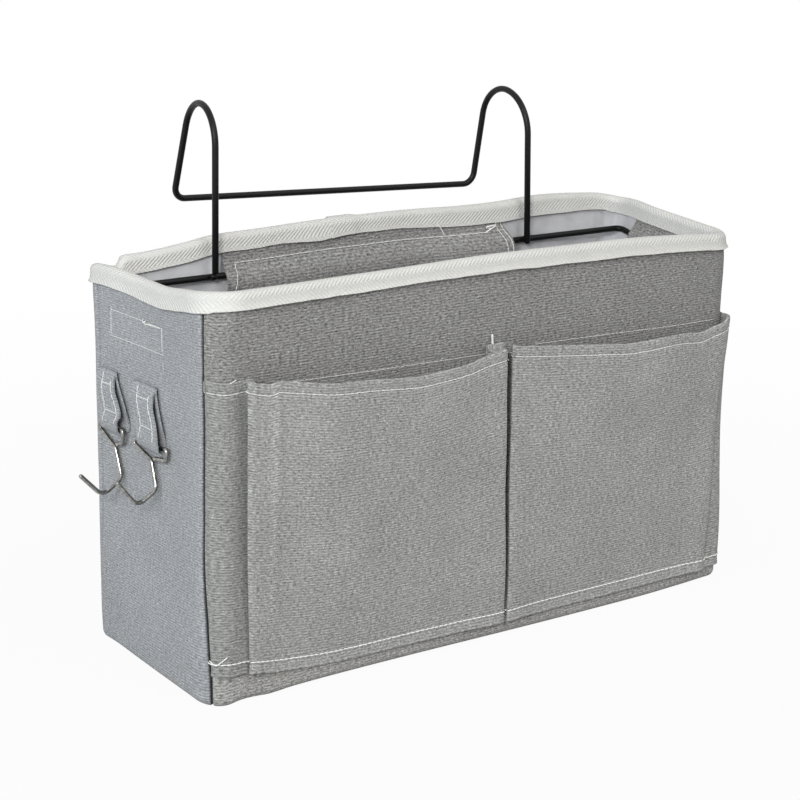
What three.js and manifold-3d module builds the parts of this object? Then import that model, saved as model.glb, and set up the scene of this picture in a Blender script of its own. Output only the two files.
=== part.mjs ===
// Bedside caddy: a soft open box of linen cloth over foam sheets, with a taped rim, two bellows
// pockets on its front, two wire hooks on straps at its left side, and a steel wire hanger whose
// arches hook over a bed rail. Millimetres, +Z up, +Y towards the bed, +X to the right of the
// front. The origin is the middle of the base's underside.
import * as THREE from "three";
import { mergeVertices } from "three/addons/utils/BufferGeometryUtils.js";
import Module from "manifold-3d";

const wasm = await Module();
wasm.setup();

// Bag
const width = 300;
const depth = 95;
const height = 180;
const cornerRadius = 12; // outside of the upright corners
const clothThickness = 0.8;
const foamThickness = 1.5;
const liningThickness = 0.4;
const boardThickness = 2; // stiff board under the base lining
const seat = 0.3; // clearance between pieces that lie on each other

// Rim tape
const tapeThickness = 0.8;
const tapeDrop = 8; // how far the tape reaches down each face of the wall

// Front pockets
const pocketBottom = 6.5;
const pocketMouthDrop = 42; // of the mouths below the rim
const mouthBulge = 13; // how far a pocket stands off the front at its mouth
const footBulge = 4.5; // and at its foot, where the pleats are sewn flat
const leftFoldInset = 19; // from the bag's side to the left pocket's outer fold
const rightFoldInset = 12; // and to the right pocket's
const foldReturnWidth = 3; // how far the cloth turns back under an outer fold
const seamLap = 8; // how far the left pocket's fold laps over the middle seam
const seamGap = 4; // from the middle seam to the right pocket's edge

// Sleeves that hold the hanger inside the bag
const sleeveFlange = 5.3; // flat top of a sleeve, sewn under the tape
const sleeveFold = 2; // bend radius where a sleeve turns round the bar
const wireClearance = 4; // from the back sleeve's ends to the uprights
const backSleeveSkirt = 18; // flat part below the bar
const sideSleeveSkirt = 8;
const sideSleeveLength = 48;
const sideSleeveInset = 12; // from the back of the bag

// Hanger
const barDiameter = 3.5;
const barBend = 6.5;
const armLength = 52; // from the back bar to the tip of each side arm
const armDrop = 7; // how much lower the tips lie
const wireDiameter = 3.5;
const wireSpan = 182; // between the two uprights
const archRise = 60; // of the wire's middle above the rim
const archRadius = 16;
const legSplay = THREE.MathUtils.degToRad(15);
const railStopRise = 13; // of the bar between the rear legs, above the rim
const legBend = 6;
const weldTail = 3.5; // the uprights' ends below the bar's middle

// Straps and hooks on the left side
const tabWidth = 20;
const tabDrop = 49; // of a strap's top below the rim
const tabSewnLength = 14;
const strapHang = 25; // of the hooks' axis below a strap's top
const hookPitch = 31; // between the two hooks
const hookInset = 19; // of the rear one from the back of the bag
const hookWireDiameter = 2;
const eyeWidth = 24;
const eyeShoulder = 3; // straight drop at the eye's rear end
const eyeStep = 7; // and at its front end
const eyeBend = 1.6;
const neckDrop = 9.5;
const neckBend = 3;
const wireEndGap = 0.6; // between the wire's loose end and the stem
const wireEndDip = 1.5; // of that end below the eye's step
const stemDrop = 21.5; // from the hooks' axis to the stem's lower end
const crookDip = 5; // the crook's lowest point below the stem's end
const crookFloorLength = 11; // from the stem out to that point
const crookReach = 21.5;
const crookRise = 12.5; // of the tip above the lowest point
const stemBend = 5;
const crookBend = 4;

// Colours
const linen = new THREE.MeshStandardMaterial({ color: 0x9a9a97, roughness: 0.95 });
const foam = new THREE.MeshStandardMaterial({ color: 0xdcdcd8, roughness: 0.9 });
const board = new THREE.MeshStandardMaterial({ color: 0x8f7a5e, roughness: 0.9 });
const lining = new THREE.MeshStandardMaterial({ color: 0xc4c5c8, roughness: 0.6 });
const tape = new THREE.MeshStandardMaterial({ color: 0xe6e4dc, roughness: 0.9 });
const blackCoat = new THREE.MeshStandardMaterial({ color: 0x18181a, roughness: 0.45, metalness: 0.3 });
const nickel = new THREE.MeshStandardMaterial({ color: 0xc9c8c4, roughness: 0.2, metalness: 1 });

// Layers of the wall, as depths into it from its outer face
const foamOuter = clothThickness + seat;
const foamInner = foamOuter + foamThickness;
const liningOuter = foamInner + seat;
const liningInner = liningOuter + liningThickness;

// Levels of the layers, from the floor up
const clothFoot = clothThickness + seat;
const boardTop = clothFoot + boardThickness;
const foamFoot = boardTop + seat;
const baseLiningTop = foamFoot + liningThickness;
const liningFoot = baseLiningTop + seat;
const wallTop = height - tapeThickness - seat;
const tapeFoot = height - tapeDrop;
const pocketTop = height - pocketMouthDrop;
const tabTop = height - tabDrop;
const hookHeight = tabTop - strapHang;
const barRoom = barDiameter / 2 + seat; // from the bar's middle to a sleeve round it
const hollowTop = tapeFoot - seat - sleeveFlange - clothThickness;
const barHeight = hollowTop - barRoom;
const archHeight = height + archRise;
const railStopHeight = height + railStopRise;

const frontRun = width - 2 * cornerRadius; // straight lengths between the corners
const sideRun = depth - 2 * cornerRadius;
const cornerSegments = 3;
const seamAngle = Math.PI / 4; // each corner is seamed along its middle

const caddy = new THREE.Group();

function addMesh(parent, name, geometry, material) {
  const mesh = new THREE.Mesh(geometry, material);
  mesh.name = name;
  parent.add(mesh);
  return mesh;
}

// A wall's own frame: x along the wall, y into the bag from the outer face, z up.
function wallFrame(distance, turn) {
  const frame = new THREE.Group();
  frame.rotation.z = turn;
  frame.position.set(Math.sin(turn) * distance, -Math.cos(turn) * distance, 0);
  caddy.add(frame);
  return frame;
}

const walls = {
  front: { frame: wallFrame(depth / 2, 0), run: frontRun },
  back: { frame: wallFrame(depth / 2, Math.PI), run: frontRun },
  left: { frame: wallFrame(width / 2, -Math.PI / 2), run: sideRun },
  right: { frame: wallFrame(width / 2, Math.PI / 2), run: sideRun },
};

function extrude(shape, length, curveSegments = cornerSegments) {
  return new THREE.ExtrudeGeometry(shape, { depth: length, bevelEnabled: false, curveSegments });
}

// The bag's plan outline, drawn in by an inset.
function planOutline(inset, PathClass = THREE.Shape) {
  const path = new PathClass();
  const radius = cornerRadius - inset;
  const quarter = Math.PI / 2;
  const corners = [[1, -1], [1, 1], [-1, 1], [-1, -1]];
  corners.forEach(([sideX, sideY], index) => {
    const start = (index - 1) * quarter;
    path.absarc((sideX * frontRun) / 2, (sideY * sideRun) / 2, radius, start, start + quarter, false);
  });
  return path.closePath();
}

// A wall's plan between two depths, with half of each corner at its ends.
function wallOutline(run, outer, inner) {
  const shape = new THREE.Shape();
  const end = seamAngle - seat / 2 / (cornerRadius - inner);
  const down = -Math.PI / 2;
  shape.absarc(-run / 2, cornerRadius, cornerRadius - outer, down - end, down, false);
  shape.absarc(run / 2, cornerRadius, cornerRadius - outer, down, down + end, false);
  shape.absarc(run / 2, cornerRadius, cornerRadius - inner, down + end, down, true);
  shape.absarc(-run / 2, cornerRadius, cornerRadius - inner, down, down - end, true);
  return shape.closePath();
}

// Cloth, foam and lining of the four walls
for (const [side, { frame, run }] of Object.entries(walls)) {
  const cloth = extrude(wallOutline(run, 0, clothThickness), wallTop - clothFoot);
  addMesh(frame, `${side}_panel`, cloth, linen).position.z = clothFoot;

  const sheet = new THREE.BoxGeometry(run, foamThickness, wallTop - foamFoot);
  const stiffener = addMesh(frame, `${side}_foam`, sheet, foam);
  stiffener.position.set(0, (foamOuter + foamInner) / 2, (wallTop + foamFoot) / 2);

  const inside = extrude(wallOutline(run, liningOuter, liningInner), wallTop - liningFoot);
  addMesh(frame, `${side}_lining`, inside, lining).position.z = liningFoot;
}

// Cloth, board and lining of the base
addMesh(caddy, "base_panel", extrude(planOutline(0), clothThickness), linen);
const baseBoard = extrude(planOutline(foamOuter), boardThickness);
addMesh(caddy, "base_board", baseBoard, board).position.z = clothFoot;
const baseLining = extrude(planOutline(liningOuter), liningThickness);
addMesh(caddy, "base_lining", baseLining, lining).position.z = foamFoot;

function toSolid(geometry) {
  const bare = geometry.clone();
  bare.deleteAttribute("normal");
  bare.deleteAttribute("uv");
  const merged = mergeVertices(bare);
  return new wasm.Manifold(new wasm.Mesh({
    numProp: 3,
    vertProperties: merged.attributes.position.array,
    triVerts: new Uint32Array(merged.index.array),
  }));
}

function toGeometry(solid) {
  const mesh = solid.getMesh();
  const geometry = new THREE.BufferGeometry();
  geometry.setAttribute("position", new THREE.BufferAttribute(mesh.vertProperties, mesh.numProp));
  geometry.setIndex(new THREE.BufferAttribute(mesh.triVerts, 1));
  geometry.computeVertexNormals();
  return geometry;
}

function planRing(outerInset, innerInset, foot, top) {
  const shape = planOutline(outerInset);
  shape.holes.push(planOutline(innerInset, THREE.Path));
  return extrude(shape, top - foot).translate(0, 0, foot);
}

// Rim tape: a ring folded over the tops of the walls
const tapeOutside = planRing(-seat - tapeThickness, liningInner + seat + tapeThickness, tapeFoot, height);
const tapeChannel = planRing(-seat, liningInner + seat, tapeFoot - seat, wallTop + seat);
const rimTape = toSolid(tapeOutside).subtract(toSolid(tapeChannel));
addMesh(caddy, "rim_binding", toGeometry(rimTape), tape);

// A sheet of cloth that stands along plan lines, one line for each level.
function standingSheet(levels, thickness) {
  const count = levels[0].line.length;
  const positions = [];
  for (const { line, z } of levels) {
    line.forEach((point, index) => {
      const before = line[Math.max(index - 1, 0)];
      const after = line[Math.min(index + 1, count - 1)];
      const incoming = point.clone().sub(before).normalize();
      const outgoing = after.clone().sub(point).normalize();
      const along = incoming.add(outgoing).normalize();
      const aside = new THREE.Vector2(along.y, -along.x).multiplyScalar(thickness / 2);
      positions.push(point.x + aside.x, point.y + aside.y, z);
      positions.push(point.x - aside.x, point.y - aside.y, z);
    });
  }
  const triangles = [];
  const quad = (a, b, c, d) => triangles.push(a, b, c, a, c, d);
  const outside = (level, index) => 2 * (level * count + index);
  const inside = (level, index) => outside(level, index) + 1;
  const last = levels.length - 1;
  for (let index = 0; index < count - 1; index++) {
    for (let level = 0; level < last; level++) {
      const next = level + 1;
      quad(outside(level, index), outside(level, index + 1), outside(next, index + 1), outside(next, index));
      quad(inside(level, index + 1), inside(level, index), inside(next, index), inside(next, index + 1));
    }
    quad(inside(0, index), inside(0, index + 1), outside(0, index + 1), outside(0, index));
    quad(outside(last, index), outside(last, index + 1), inside(last, index + 1), inside(last, index));
  }
  const end = count - 1;
  for (let level = 0; level < last; level++) {
    quad(inside(level, 0), outside(level, 0), outside(level + 1, 0), inside(level + 1, 0));
    quad(outside(level, end), inside(level, end), inside(level + 1, end), outside(level + 1, end));
  }
  const geometry = new THREE.BufferGeometry();
  geometry.setAttribute("position", new THREE.Float32BufferAttribute(positions, 3));
  geometry.setIndex(triangles);
  geometry.computeVertexNormals();
  return geometry;
}

// Pockets, in the front wall's frame, where a negative y stands off the front
const flatOnWall = seat + clothThickness / 2;
const pocketEdgeAngle = seamAngle - seat / cornerRadius;

function aroundCorner(side, angle) {
  const radius = cornerRadius + flatOnWall;
  const x = side * (frontRun / 2 + radius * Math.sin(angle));
  return new THREE.Vector2(x, cornerRadius - radius * Math.cos(angle));
}

function pocketLevels(planLine) {
  const shares = [0, 0.12, 0.5, 1];
  return shares.map((share) => ({
    line: planLine(THREE.MathUtils.lerp(footBulge, mouthBulge, share)),
    z: THREE.MathUtils.lerp(pocketBottom, pocketTop, share),
  }));
}

// Each plan line runs left to right: the sewn edge, the fold, the bulging face and the other edge.
const leftFold = -width / 2 + leftFoldInset;
const rightFold = width / 2 - rightFoldInset;
const foldRise = 0.75; // share of the bulge at a fold
const facePoints = [[0.2, 0.93], [0.5, 1], [0.8, 0.93]]; // shares of a face's width and of the bulge

function pocketFace(from, to, bulge) {
  return facePoints.map(([across, rise]) => (
    new THREE.Vector2(THREE.MathUtils.lerp(from, to, across), -bulge * rise)
  ));
}

function leftPocketLine(bulge) {
  return [
    aroundCorner(-1, pocketEdgeAngle),
    aroundCorner(-1, pocketEdgeAngle / 2),
    aroundCorner(-1, 0),
    new THREE.Vector2(leftFold + foldReturnWidth, -flatOnWall),
    new THREE.Vector2(leftFold, -bulge * foldRise),
    ...pocketFace(leftFold, seamLap, bulge),
    new THREE.Vector2(seamLap, -bulge * foldRise),
    new THREE.Vector2(-seat, -flatOnWall),
  ];
}

function rightPocketLine(bulge) {
  const faceStart = seamGap + seamLap;
  return [
    new THREE.Vector2(seamGap, -flatOnWall),
    new THREE.Vector2(faceStart, -flatOnWall),
    ...pocketFace(faceStart, rightFold, bulge),
    new THREE.Vector2(rightFold, -bulge * foldRise),
    new THREE.Vector2(rightFold - foldReturnWidth, -flatOnWall),
    aroundCorner(1, 0),
    aroundCorner(1, pocketEdgeAngle / 2),
    aroundCorner(1, pocketEdgeAngle),
  ];
}

const frontFrame = walls.front.frame;
addMesh(frontFrame, "left_pocket", standingSheet(pocketLevels(leftPocketLine), clothThickness), linen);
addMesh(frontFrame, "right_pocket", standingSheet(pocketLevels(rightPocketLine), clothThickness), linen);

// A wire bent round corners: rings only at its ends and through its bends.
class BentWire extends THREE.Curve {
  constructor(corners, bendSteps = 5) {
    super();
    this.rings = [];
    const points = corners.map(({ at }) => at);
    const heading = (from, to) => to.clone().sub(from).normalize();
    this.addRing(points[0], heading(points[0], points[1]));
    for (let index = 1; index < points.length - 1; index++) {
      const incoming = heading(points[index - 1], points[index]);
      const outgoing = heading(points[index], points[index + 1]);
      this.addBend(points[index], incoming, outgoing, corners[index].bend, bendSteps);
    }
    const last = points.length - 1;
    this.addRing(points[last], heading(points[last - 1], points[last]));
  }

  addRing(point, tangent) {
    this.rings.push({ point, tangent });
  }

  addBend(corner, incoming, outgoing, radius, steps) {
    const angle = incoming.angleTo(outgoing);
    const inward = outgoing.clone().addScaledVector(incoming, -incoming.dot(outgoing)).normalize();
    const start = corner.clone().addScaledVector(incoming, -radius * Math.tan(angle / 2));
    const centre = start.clone().addScaledVector(inward, radius);
    for (let step = 0; step <= steps; step++) {
      const turn = (angle * step) / steps;
      const point = centre.clone();
      point.addScaledVector(inward, -radius * Math.cos(turn));
      point.addScaledVector(incoming, radius * Math.sin(turn));
      const tangent = incoming.clone().multiplyScalar(Math.cos(turn));
      this.addRing(point, tangent.addScaledVector(inward, Math.sin(turn)));
    }
  }

  ringAt(share) {
    return this.rings[Math.round(share * (this.rings.length - 1))];
  }

  getPointAt(share, target = new THREE.Vector3()) {
    return target.copy(this.ringAt(share).point);
  }

  getTangentAt(share, target = new THREE.Vector3()) {
    return target.copy(this.ringAt(share).tangent);
  }
}

function bentRod(corners, diameter, sides) {
  const section = [];
  for (let side = 0; side < sides; side++) {
    const angle = (2 * Math.PI * side) / sides;
    section.push(new THREE.Vector2(Math.cos(angle), Math.sin(angle)).multiplyScalar(diameter / 2));
  }
  const path = new BentWire(corners);
  const options = { steps: path.rings.length - 1, bevelEnabled: false, extrudePath: path };
  return new THREE.ExtrudeGeometry(new THREE.Shape(section), options);
}

function corner(x, y, z, bend = 0) {
  return { at: new THREE.Vector3(x, y, z), bend };
}

// Support bar: along the back wall and forward along both side walls, inside the rim
const rodSides = 10;
const barInset = liningInner + seat + barDiameter / 2;
const barX = width / 2 - barInset;
const barY = depth / 2 - barInset;
const armTip = [barY - armLength, barHeight - armDrop];
const barCorners = [
  corner(-barX, ...armTip),
  corner(-barX, barY, barHeight, barBend),
  corner(barX, barY, barHeight, barBend),
  corner(barX, ...armTip),
];
addMesh(caddy, "support_bar", bentRod(barCorners, barDiameter, rodSides), blackCoat);

// Hanger wire: up from the bar, over the rail in two arches, and joined behind it
const uprightY = barY - barDiameter / 2 - seat - wireDiameter / 2;
const archTurn = Math.PI / 2 - legSplay; // from the crown down to the rear leg
const crownY = uprightY + archRadius + archRadius * Math.tan(archTurn / 2);
const railStopY = crownY + (archHeight - railStopHeight) * Math.tan(legSplay);

function archCorners(x) {
  return [
    corner(x, uprightY, barHeight - weldTail),
    corner(x, uprightY, archHeight, archRadius),
    corner(x, crownY, archHeight, archRadius),
    corner(x, railStopY, railStopHeight, legBend),
  ];
}

const wireCorners = [...archCorners(-wireSpan / 2), ...archCorners(wireSpan / 2).reverse()];
addMesh(caddy, "hanger_wire", bentRod(wireCorners, wireDiameter, rodSides), blackCoat);

// Extrudes a section drawn as (depth into the bag, height) along a wall, about its middle.
const alongWall = new THREE.Matrix4().makeBasis(
  new THREE.Vector3(0, 1, 0),
  new THREE.Vector3(0, 0, 1),
  new THREE.Vector3(1, 0, 0),
);

function extrudeAlongWall(section, length) {
  return extrude(section, length).translate(0, 0, -length / 2).applyMatrix4(alongWall);
}

// A strip sewn to the lining above and below a hollow that holds the bar.
function sleeveSection(hollowBottom, skirt) {
  const face = liningInner + seat;
  const front = face + clothThickness;
  const hollow = liningInner + barDiameter + 2 * seat;
  const bend = hollow - sleeveFold;
  const outerFoldRadius = sleeveFold + clothThickness;
  const bottom = hollowBottom - clothThickness - skirt;
  const quarter = Math.PI / 2;
  const shape = new THREE.Shape();
  shape.moveTo(face, tapeFoot - seat);
  shape.lineTo(face, hollowTop);
  shape.absarc(bend, hollowTop - sleeveFold, sleeveFold, quarter, 0, true);
  shape.absarc(bend, hollowBottom + sleeveFold, sleeveFold, 0, -quarter, true);
  shape.lineTo(face, hollowBottom);
  shape.lineTo(face, bottom);
  shape.lineTo(front, bottom);
  shape.lineTo(front, hollowBottom - clothThickness);
  shape.absarc(bend, hollowBottom + sleeveFold, outerFoldRadius, -quarter, 0, false);
  shape.absarc(bend, hollowTop - sleeveFold, outerFoldRadius, 0, quarter, false);
  shape.lineTo(front, hollowTop + clothThickness);
  shape.lineTo(front, tapeFoot - seat);
  return shape.closePath();
}

const backSection = sleeveSection(barHeight - barRoom, backSleeveSkirt);
const backSleeveLength = wireSpan - wireDiameter - 2 * wireClearance;
addMesh(walls.back.frame, "back_sleeve", extrudeAlongWall(backSection, backSleeveLength), linen);

const sideSection = sleeveSection(barHeight - armDrop - barRoom, sideSleeveSkirt);
const sideSleeveOffset = depth / 2 - sideSleeveInset - sideSleeveLength / 2;
for (const [side, towardsBed] of [["left", -1], ["right", 1]]) {
  const strip = extrudeAlongWall(sideSection, sideSleeveLength);
  addMesh(walls[side].frame, `${side}_sleeve`, strip, linen).position.x = towardsBed * sideSleeveOffset;
}

// A strap folded round a hook's eye and sewn to the wall, drawn as (depth into the bag, height).
const loopInner = hookWireDiameter / 2 + seat;
const loopOuter = loopInner + clothThickness;
const hookAxisInset = -(seat + loopOuter); // the eye lies this far into the wall, so outside it

function tangentAngle(radius, x, y) {
  return Math.atan2(y, x) + Math.acos(radius / Math.hypot(x, y));
}

function tabSection() {
  const sewnFoot = tabTop - tabSewnLength;
  const lift = sewnFoot - hookHeight;
  const front = -seat - 2 * clothThickness;
  const shape = new THREE.Shape();
  shape.moveTo(-seat, tabTop);
  shape.lineTo(front, tabTop);
  shape.lineTo(front, sewnFoot);
  const outerTangent = tangentAngle(loopOuter, front - hookAxisInset, lift);
  shape.absarc(hookAxisInset, hookHeight, loopOuter, outerTangent, 2 * Math.PI, false);
  shape.closePath();

  const fold = -seat - clothThickness;
  const hole = new THREE.Path();
  const innerTangent = tangentAngle(loopInner, fold - hookAxisInset, lift);
  hole.absarc(hookAxisInset, hookHeight, loopInner, innerTangent, 2 * Math.PI, false);
  hole.lineTo(fold, sewnFoot);
  hole.closePath();
  shape.holes.push(hole);
  return shape;
}

// A hook of one wire, about its axis: an eye through the strap, a stem and a crook.
function hookCorners() {
  const endX = hookWireDiameter / 2 + wireEndGap;
  const crookFloor = -stemDrop - crookDip;
  return [
    corner(endX, 0, -eyeStep - wireEndDip),
    corner(eyeWidth / 2, 0, -eyeStep, eyeBend),
    corner(eyeWidth / 2, 0, 0, eyeBend),
    corner(-eyeWidth / 2, 0, 0, eyeBend),
    corner(-eyeWidth / 2, 0, -eyeShoulder, eyeBend),
    corner(0, 0, -neckDrop, neckBend),
    corner(0, 0, -stemDrop, stemBend),
    corner(0, -crookFloorLength, crookFloor, crookBend),
    corner(0, -crookReach, crookFloor + crookRise),
  ];
}

const hookSides = 8;
const rearHookOffset = depth / 2 - hookInset;
for (const [place, offset] of [["rear", rearHookOffset], ["front", rearHookOffset - hookPitch]]) {
  const station = new THREE.Group();
  station.position.x = -offset;
  walls.left.frame.add(station);
  addMesh(station, `${place}_hook_tab`, extrudeAlongWall(tabSection(), tabWidth), linen);
  const hook = addMesh(station, `${place}_hook`, bentRod(hookCorners(), hookWireDiameter, hookSides), nickel);
  hook.position.set(0, hookAxisInset, hookHeight);
}

export default caddy;
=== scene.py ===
"""Dresses the bedside caddy: sewn linen over foam, a taped rim, pleated pockets, a hanger and hooks.

Every cloth follows one soft wall: a rounded plan that is read by a place along the perimeter, a level
and a depth in from the outer face. Lengths inside the script are millimetres until a mesh is made.
"""

import bisect
import functools
import math
import random

import bpy
from mathutils import Matrix, Vector, noise


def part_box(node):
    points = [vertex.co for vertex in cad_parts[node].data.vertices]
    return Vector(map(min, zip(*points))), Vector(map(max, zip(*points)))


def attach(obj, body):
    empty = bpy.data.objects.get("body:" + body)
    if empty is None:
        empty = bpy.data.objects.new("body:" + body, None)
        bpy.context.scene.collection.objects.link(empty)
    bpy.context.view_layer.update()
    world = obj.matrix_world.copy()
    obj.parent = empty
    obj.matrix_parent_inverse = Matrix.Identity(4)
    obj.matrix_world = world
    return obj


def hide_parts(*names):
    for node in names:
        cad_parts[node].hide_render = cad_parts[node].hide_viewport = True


bl_info = {
    "name": "Bedside Caddy",
    "version": (1, 0, 0),
    "blender": (4, 5, 0),
    "location": "View3D > Sidebar > Caddy",
    "description": "Adds the sewn, wired and stitched pieces of a bedside caddy",
    "category": "Add Mesh",
}

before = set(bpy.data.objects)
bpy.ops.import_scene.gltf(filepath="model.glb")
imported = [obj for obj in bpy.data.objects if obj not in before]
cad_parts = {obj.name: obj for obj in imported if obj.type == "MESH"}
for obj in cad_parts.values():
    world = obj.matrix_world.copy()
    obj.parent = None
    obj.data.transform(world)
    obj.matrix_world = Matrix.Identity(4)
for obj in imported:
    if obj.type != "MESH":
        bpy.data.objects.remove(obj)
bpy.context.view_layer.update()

MM = 0.001
HALF_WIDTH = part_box("base_panel")[1].x / MM
HALF_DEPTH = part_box("base_panel")[1].y / MM
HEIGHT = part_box("rim_binding")[1].z / MM

# The perimeter starts at the front left corner and runs along the front, right, back and left walls
FRONT_END = 2 * HALF_WIDTH
RIGHT_END = FRONT_END + 2 * HALF_DEPTH
BACK_END = RIGHT_END + 2 * HALF_WIDTH
PERIMETER = BACK_END + 2 * HALF_DEPTH
WALLS = (
    # start, half length, direction along the wall, outward direction, distance from the middle
    (0, HALF_WIDTH, Vector((1, 0, 0)), Vector((0, -1, 0)), HALF_DEPTH),
    (FRONT_END, HALF_DEPTH, Vector((0, 1, 0)), Vector((1, 0, 0)), HALF_WIDTH),
    (RIGHT_END, HALF_WIDTH, Vector((-1, 0, 0)), Vector((0, 1, 0)), HALF_DEPTH),
    (BACK_END, HALF_DEPTH, Vector((0, -1, 0)), Vector((-1, 0, 0)), HALF_WIDTH),
)
WALL_STARTS = [wall[0] for wall in WALLS]
RIGHT_MIDDLE = FRONT_END + HALF_DEPTH
BACK_MIDDLE = RIGHT_END + HALF_WIDTH
LEFT_MIDDLE = BACK_END + HALF_DEPTH

# Depths of the wall's layers from its outer face, and the foot's roll
FOAM_DEPTH = 1.1
LINING_DEPTH = 2.9
SEAM_GAP = 0.3
FOOT_ROLL = 4.0
ROLL_LENGTH = FOOT_ROLL * math.pi / 2
WALL_TOP = HEIGHT - 3.4

# Corner radii: front left, front right, back right, back left
FOOT_RADII = (9, 4, 8, 5)
WALL_RADII = (12, 12, 9, 5)
RIM_RADII = (18, 14, 16, 6)
WIDEST_RADIUS = max(WALL_RADII)

# How far the back corners are pulled out, left and right, and the share of that by level
LEFT_SPREAD = Vector((-2.2, 3.6, 0))
RIGHT_SPREAD = Vector((4.4, 0.6, 0))
SPREAD_SHARES = ((0, 0.35), (17, 0.6), (66, 0.75), (114, 0.9), (150, 0.98), (172, 1.2), (182, 1.25))

# Height of the rim round the perimeter
RIM_HEIGHTS = (
    (-37, 177), (-18, 179.2), (0, 180.6), (47, 180.8), (100, 181.1), (145, 181.5), (216, 180.3),
    (241, 179.6), (272, 177.7), (298, 175.8), (315, 176.3), (347, 178), (373, 179.2), (391, 178.8),
    (409, 181), (441, 183.4), (470, 182.6), (495, 182.9), (527, 184.2), (575, 184.6), (609, 183.9),
    (636, 183.2), (648, 181.2), (660, 179.6), (670, 178.6), (679, 178.4), (680, 178.2), (681.6, 174.6),
    (683, 173.8), (688, 174.6), (695, 176.4), (711, 177.6), (737, 176.9), (753, 177), (772, 179.2),
    (790, 180.6), (837, 180.8),
)

# How far the foot of the walls bellies out
FOOT_BELLY = (
    (-60, 2.2), (-20, 3.4), (0, 3.4), (50, 3.4), (100, 2.7), (158, 2.4), (222, 1.6), (285, 1.3),
    (305, 0.9), (325, 0.6), (395, 0.8), (545, 1.5), (690, 0.4), (705, 0.4), (730, 2.2), (770, 3.4),
    (790, 3.4),
)

# How far the foot sags under the base's edge
FOOT_SAG = (
    (-60, 1.2), (-14, 2.2), (4, 3.6), (13, 2.4), (20, 2.4), (28, 2.9), (40, 2.2), (60, 1.9), (100, 2.1),
    (150, 2.5), (205, 3), (250, 2.9), (275, 2.2), (296, 1.4), (310, 1.4), (345, 2), (395, 1.6),
    (545, 2), (690, 0.8), (712, 0.6), (740, 1.2), (776, 2.2), (794, 3.6),
)

# Height, length and seed of the soft waves in the walls
WALL_WAVES = ((0.7, 75, 3.1), (0.3, 26, 7.7))

# Where the rear hook's eye presses the left wall in: place and reach, level and reach, and depth
EYE_DENT = (LEFT_MIDDLE - 27.5, 14, 106, 13, 1.4)


def smooth(low, high, value):
    """Rises smoothly from 0 at low to 1 at high."""
    share = min(max((value - low) / (high - low), 0.0), 1.0)
    return share * share * (3 - 2 * share)


def mix(first, second, share):
    return first + (second - first) * share


def between(first, second, share):
    return [mix(*pair, share) for pair in zip(first, second)]


def bell(value, middle, spread):
    return math.exp(-(((value - middle) / spread) ** 2))


def hermite(start, rise, end, fall, share):
    """A point on a smooth line that leaves start with one slope and meets end with another."""
    square = share * share
    cube = square * share
    return (
        start * (2 * cube - 3 * square + 1)
        + rise * (cube - 2 * square + share)
        + end * (3 * square - 2 * cube)
        + fall * (cube - square)
    )


def on_line(points, along):
    """A point on a smooth line through points, along counted in points from the first."""
    index = min(int(along), len(points) - 2)
    start, end = points[index], points[index + 1]
    before = points[max(index - 1, 0)]
    after = points[min(index + 2, len(points) - 1)]
    return hermite(start, (end - before) * 0.5, end, (after - start) * 0.5, along - index)


def follow(table, at):
    """Reads a table of (place, value) pairs on a smooth line through them."""
    index = bisect.bisect_right(table, (at, math.inf)) - 1
    if index < 0:
        return table[0][1]
    if index >= len(table) - 1:
        return table[-1][1]
    (place, value), (next_place, next_value) = table[index], table[index + 1]
    before = table[max(index - 1, 0)]
    after = table[min(index + 2, len(table) - 1)]
    span = next_place - place
    rise = (next_value - before[1]) / (next_place - before[0]) * span
    fall = (after[1] - value) / (after[0] - place) * span
    return hermite(value, rise, next_value, fall, (at - place) / span)


def ripple(point, size, seed):
    """Soft noise from -1 to 1 whose waves are about size millimetres long."""
    x, y, z = point
    return noise.noise(Vector((x / size + seed, y / size - seed, z / size + 2 * seed)))


def corner_radius(corner, level):
    radius = mix(FOOT_RADII[corner], WALL_RADII[corner], smooth(10, 120, level))
    return mix(radius, RIM_RADII[corner], smooth(HEIGHT - 15, HEIGHT, level))


def belly(place, level, spot):
    """How far the soft wall stands out from its straight plan."""
    foot = follow(FOOT_BELLY, place) * (1 - smooth(6, 80, level))
    free = smooth(4, 40, level) * (1 - 0.8 * smooth(HEIGHT - 32, HEIGHT - 12, level))
    sag = sum(height * ripple(spot, length, seed) for height, length, seed in WALL_WAVES)
    dent_place, along, dent_level, up, dent = EYE_DENT
    return foot + free * sag - dent * bell(place, dent_place, along) * bell(level, dent_level, up)


def wall_point(place, level, depth):
    """A point of the wall at a place on the perimeter, a level and a depth in from its outer face."""
    place = place % PERIMETER
    index = bisect.bisect_right(WALL_STARTS, place) - 1
    start, half, along, outward, distance = WALLS[index]
    share = (place - start) / half - 1
    side = 1 if share >= 0 else -1
    radius = corner_radius((index + (share >= 0)) % 4, level)
    flat = half - radius
    run = abs(share) * (flat + radius * math.pi / 4)
    turn = max(run - flat, 0) / radius
    reach = min(run, flat)
    spot = along * (side * (reach + radius * math.sin(turn))) + outward * distance
    spot.z = level
    inset = depth - belly(place, level, spot)
    across = reach + (radius - inset) * math.sin(turn)
    inward = radius - (radius - inset) * math.cos(turn)
    point = along * (side * across) + outward * (distance - inward)
    near_back = smooth(5, HALF_DEPTH, point.y) * follow(SPREAD_SHARES, level)
    spread = RIGHT_SPREAD if point.x > 0 else LEFT_SPREAD
    point += spread * (near_back * smooth(60, HALF_WIDTH, abs(point.x)))
    lift = (follow(RIM_HEIGHTS, place) - HEIGHT) * smooth(HEIGHT - 35, HEIGHT - 2, level)
    point.z = level + lift - follow(FOOT_SAG, place) * (1 - smooth(0, 26, level))
    return point


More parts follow.
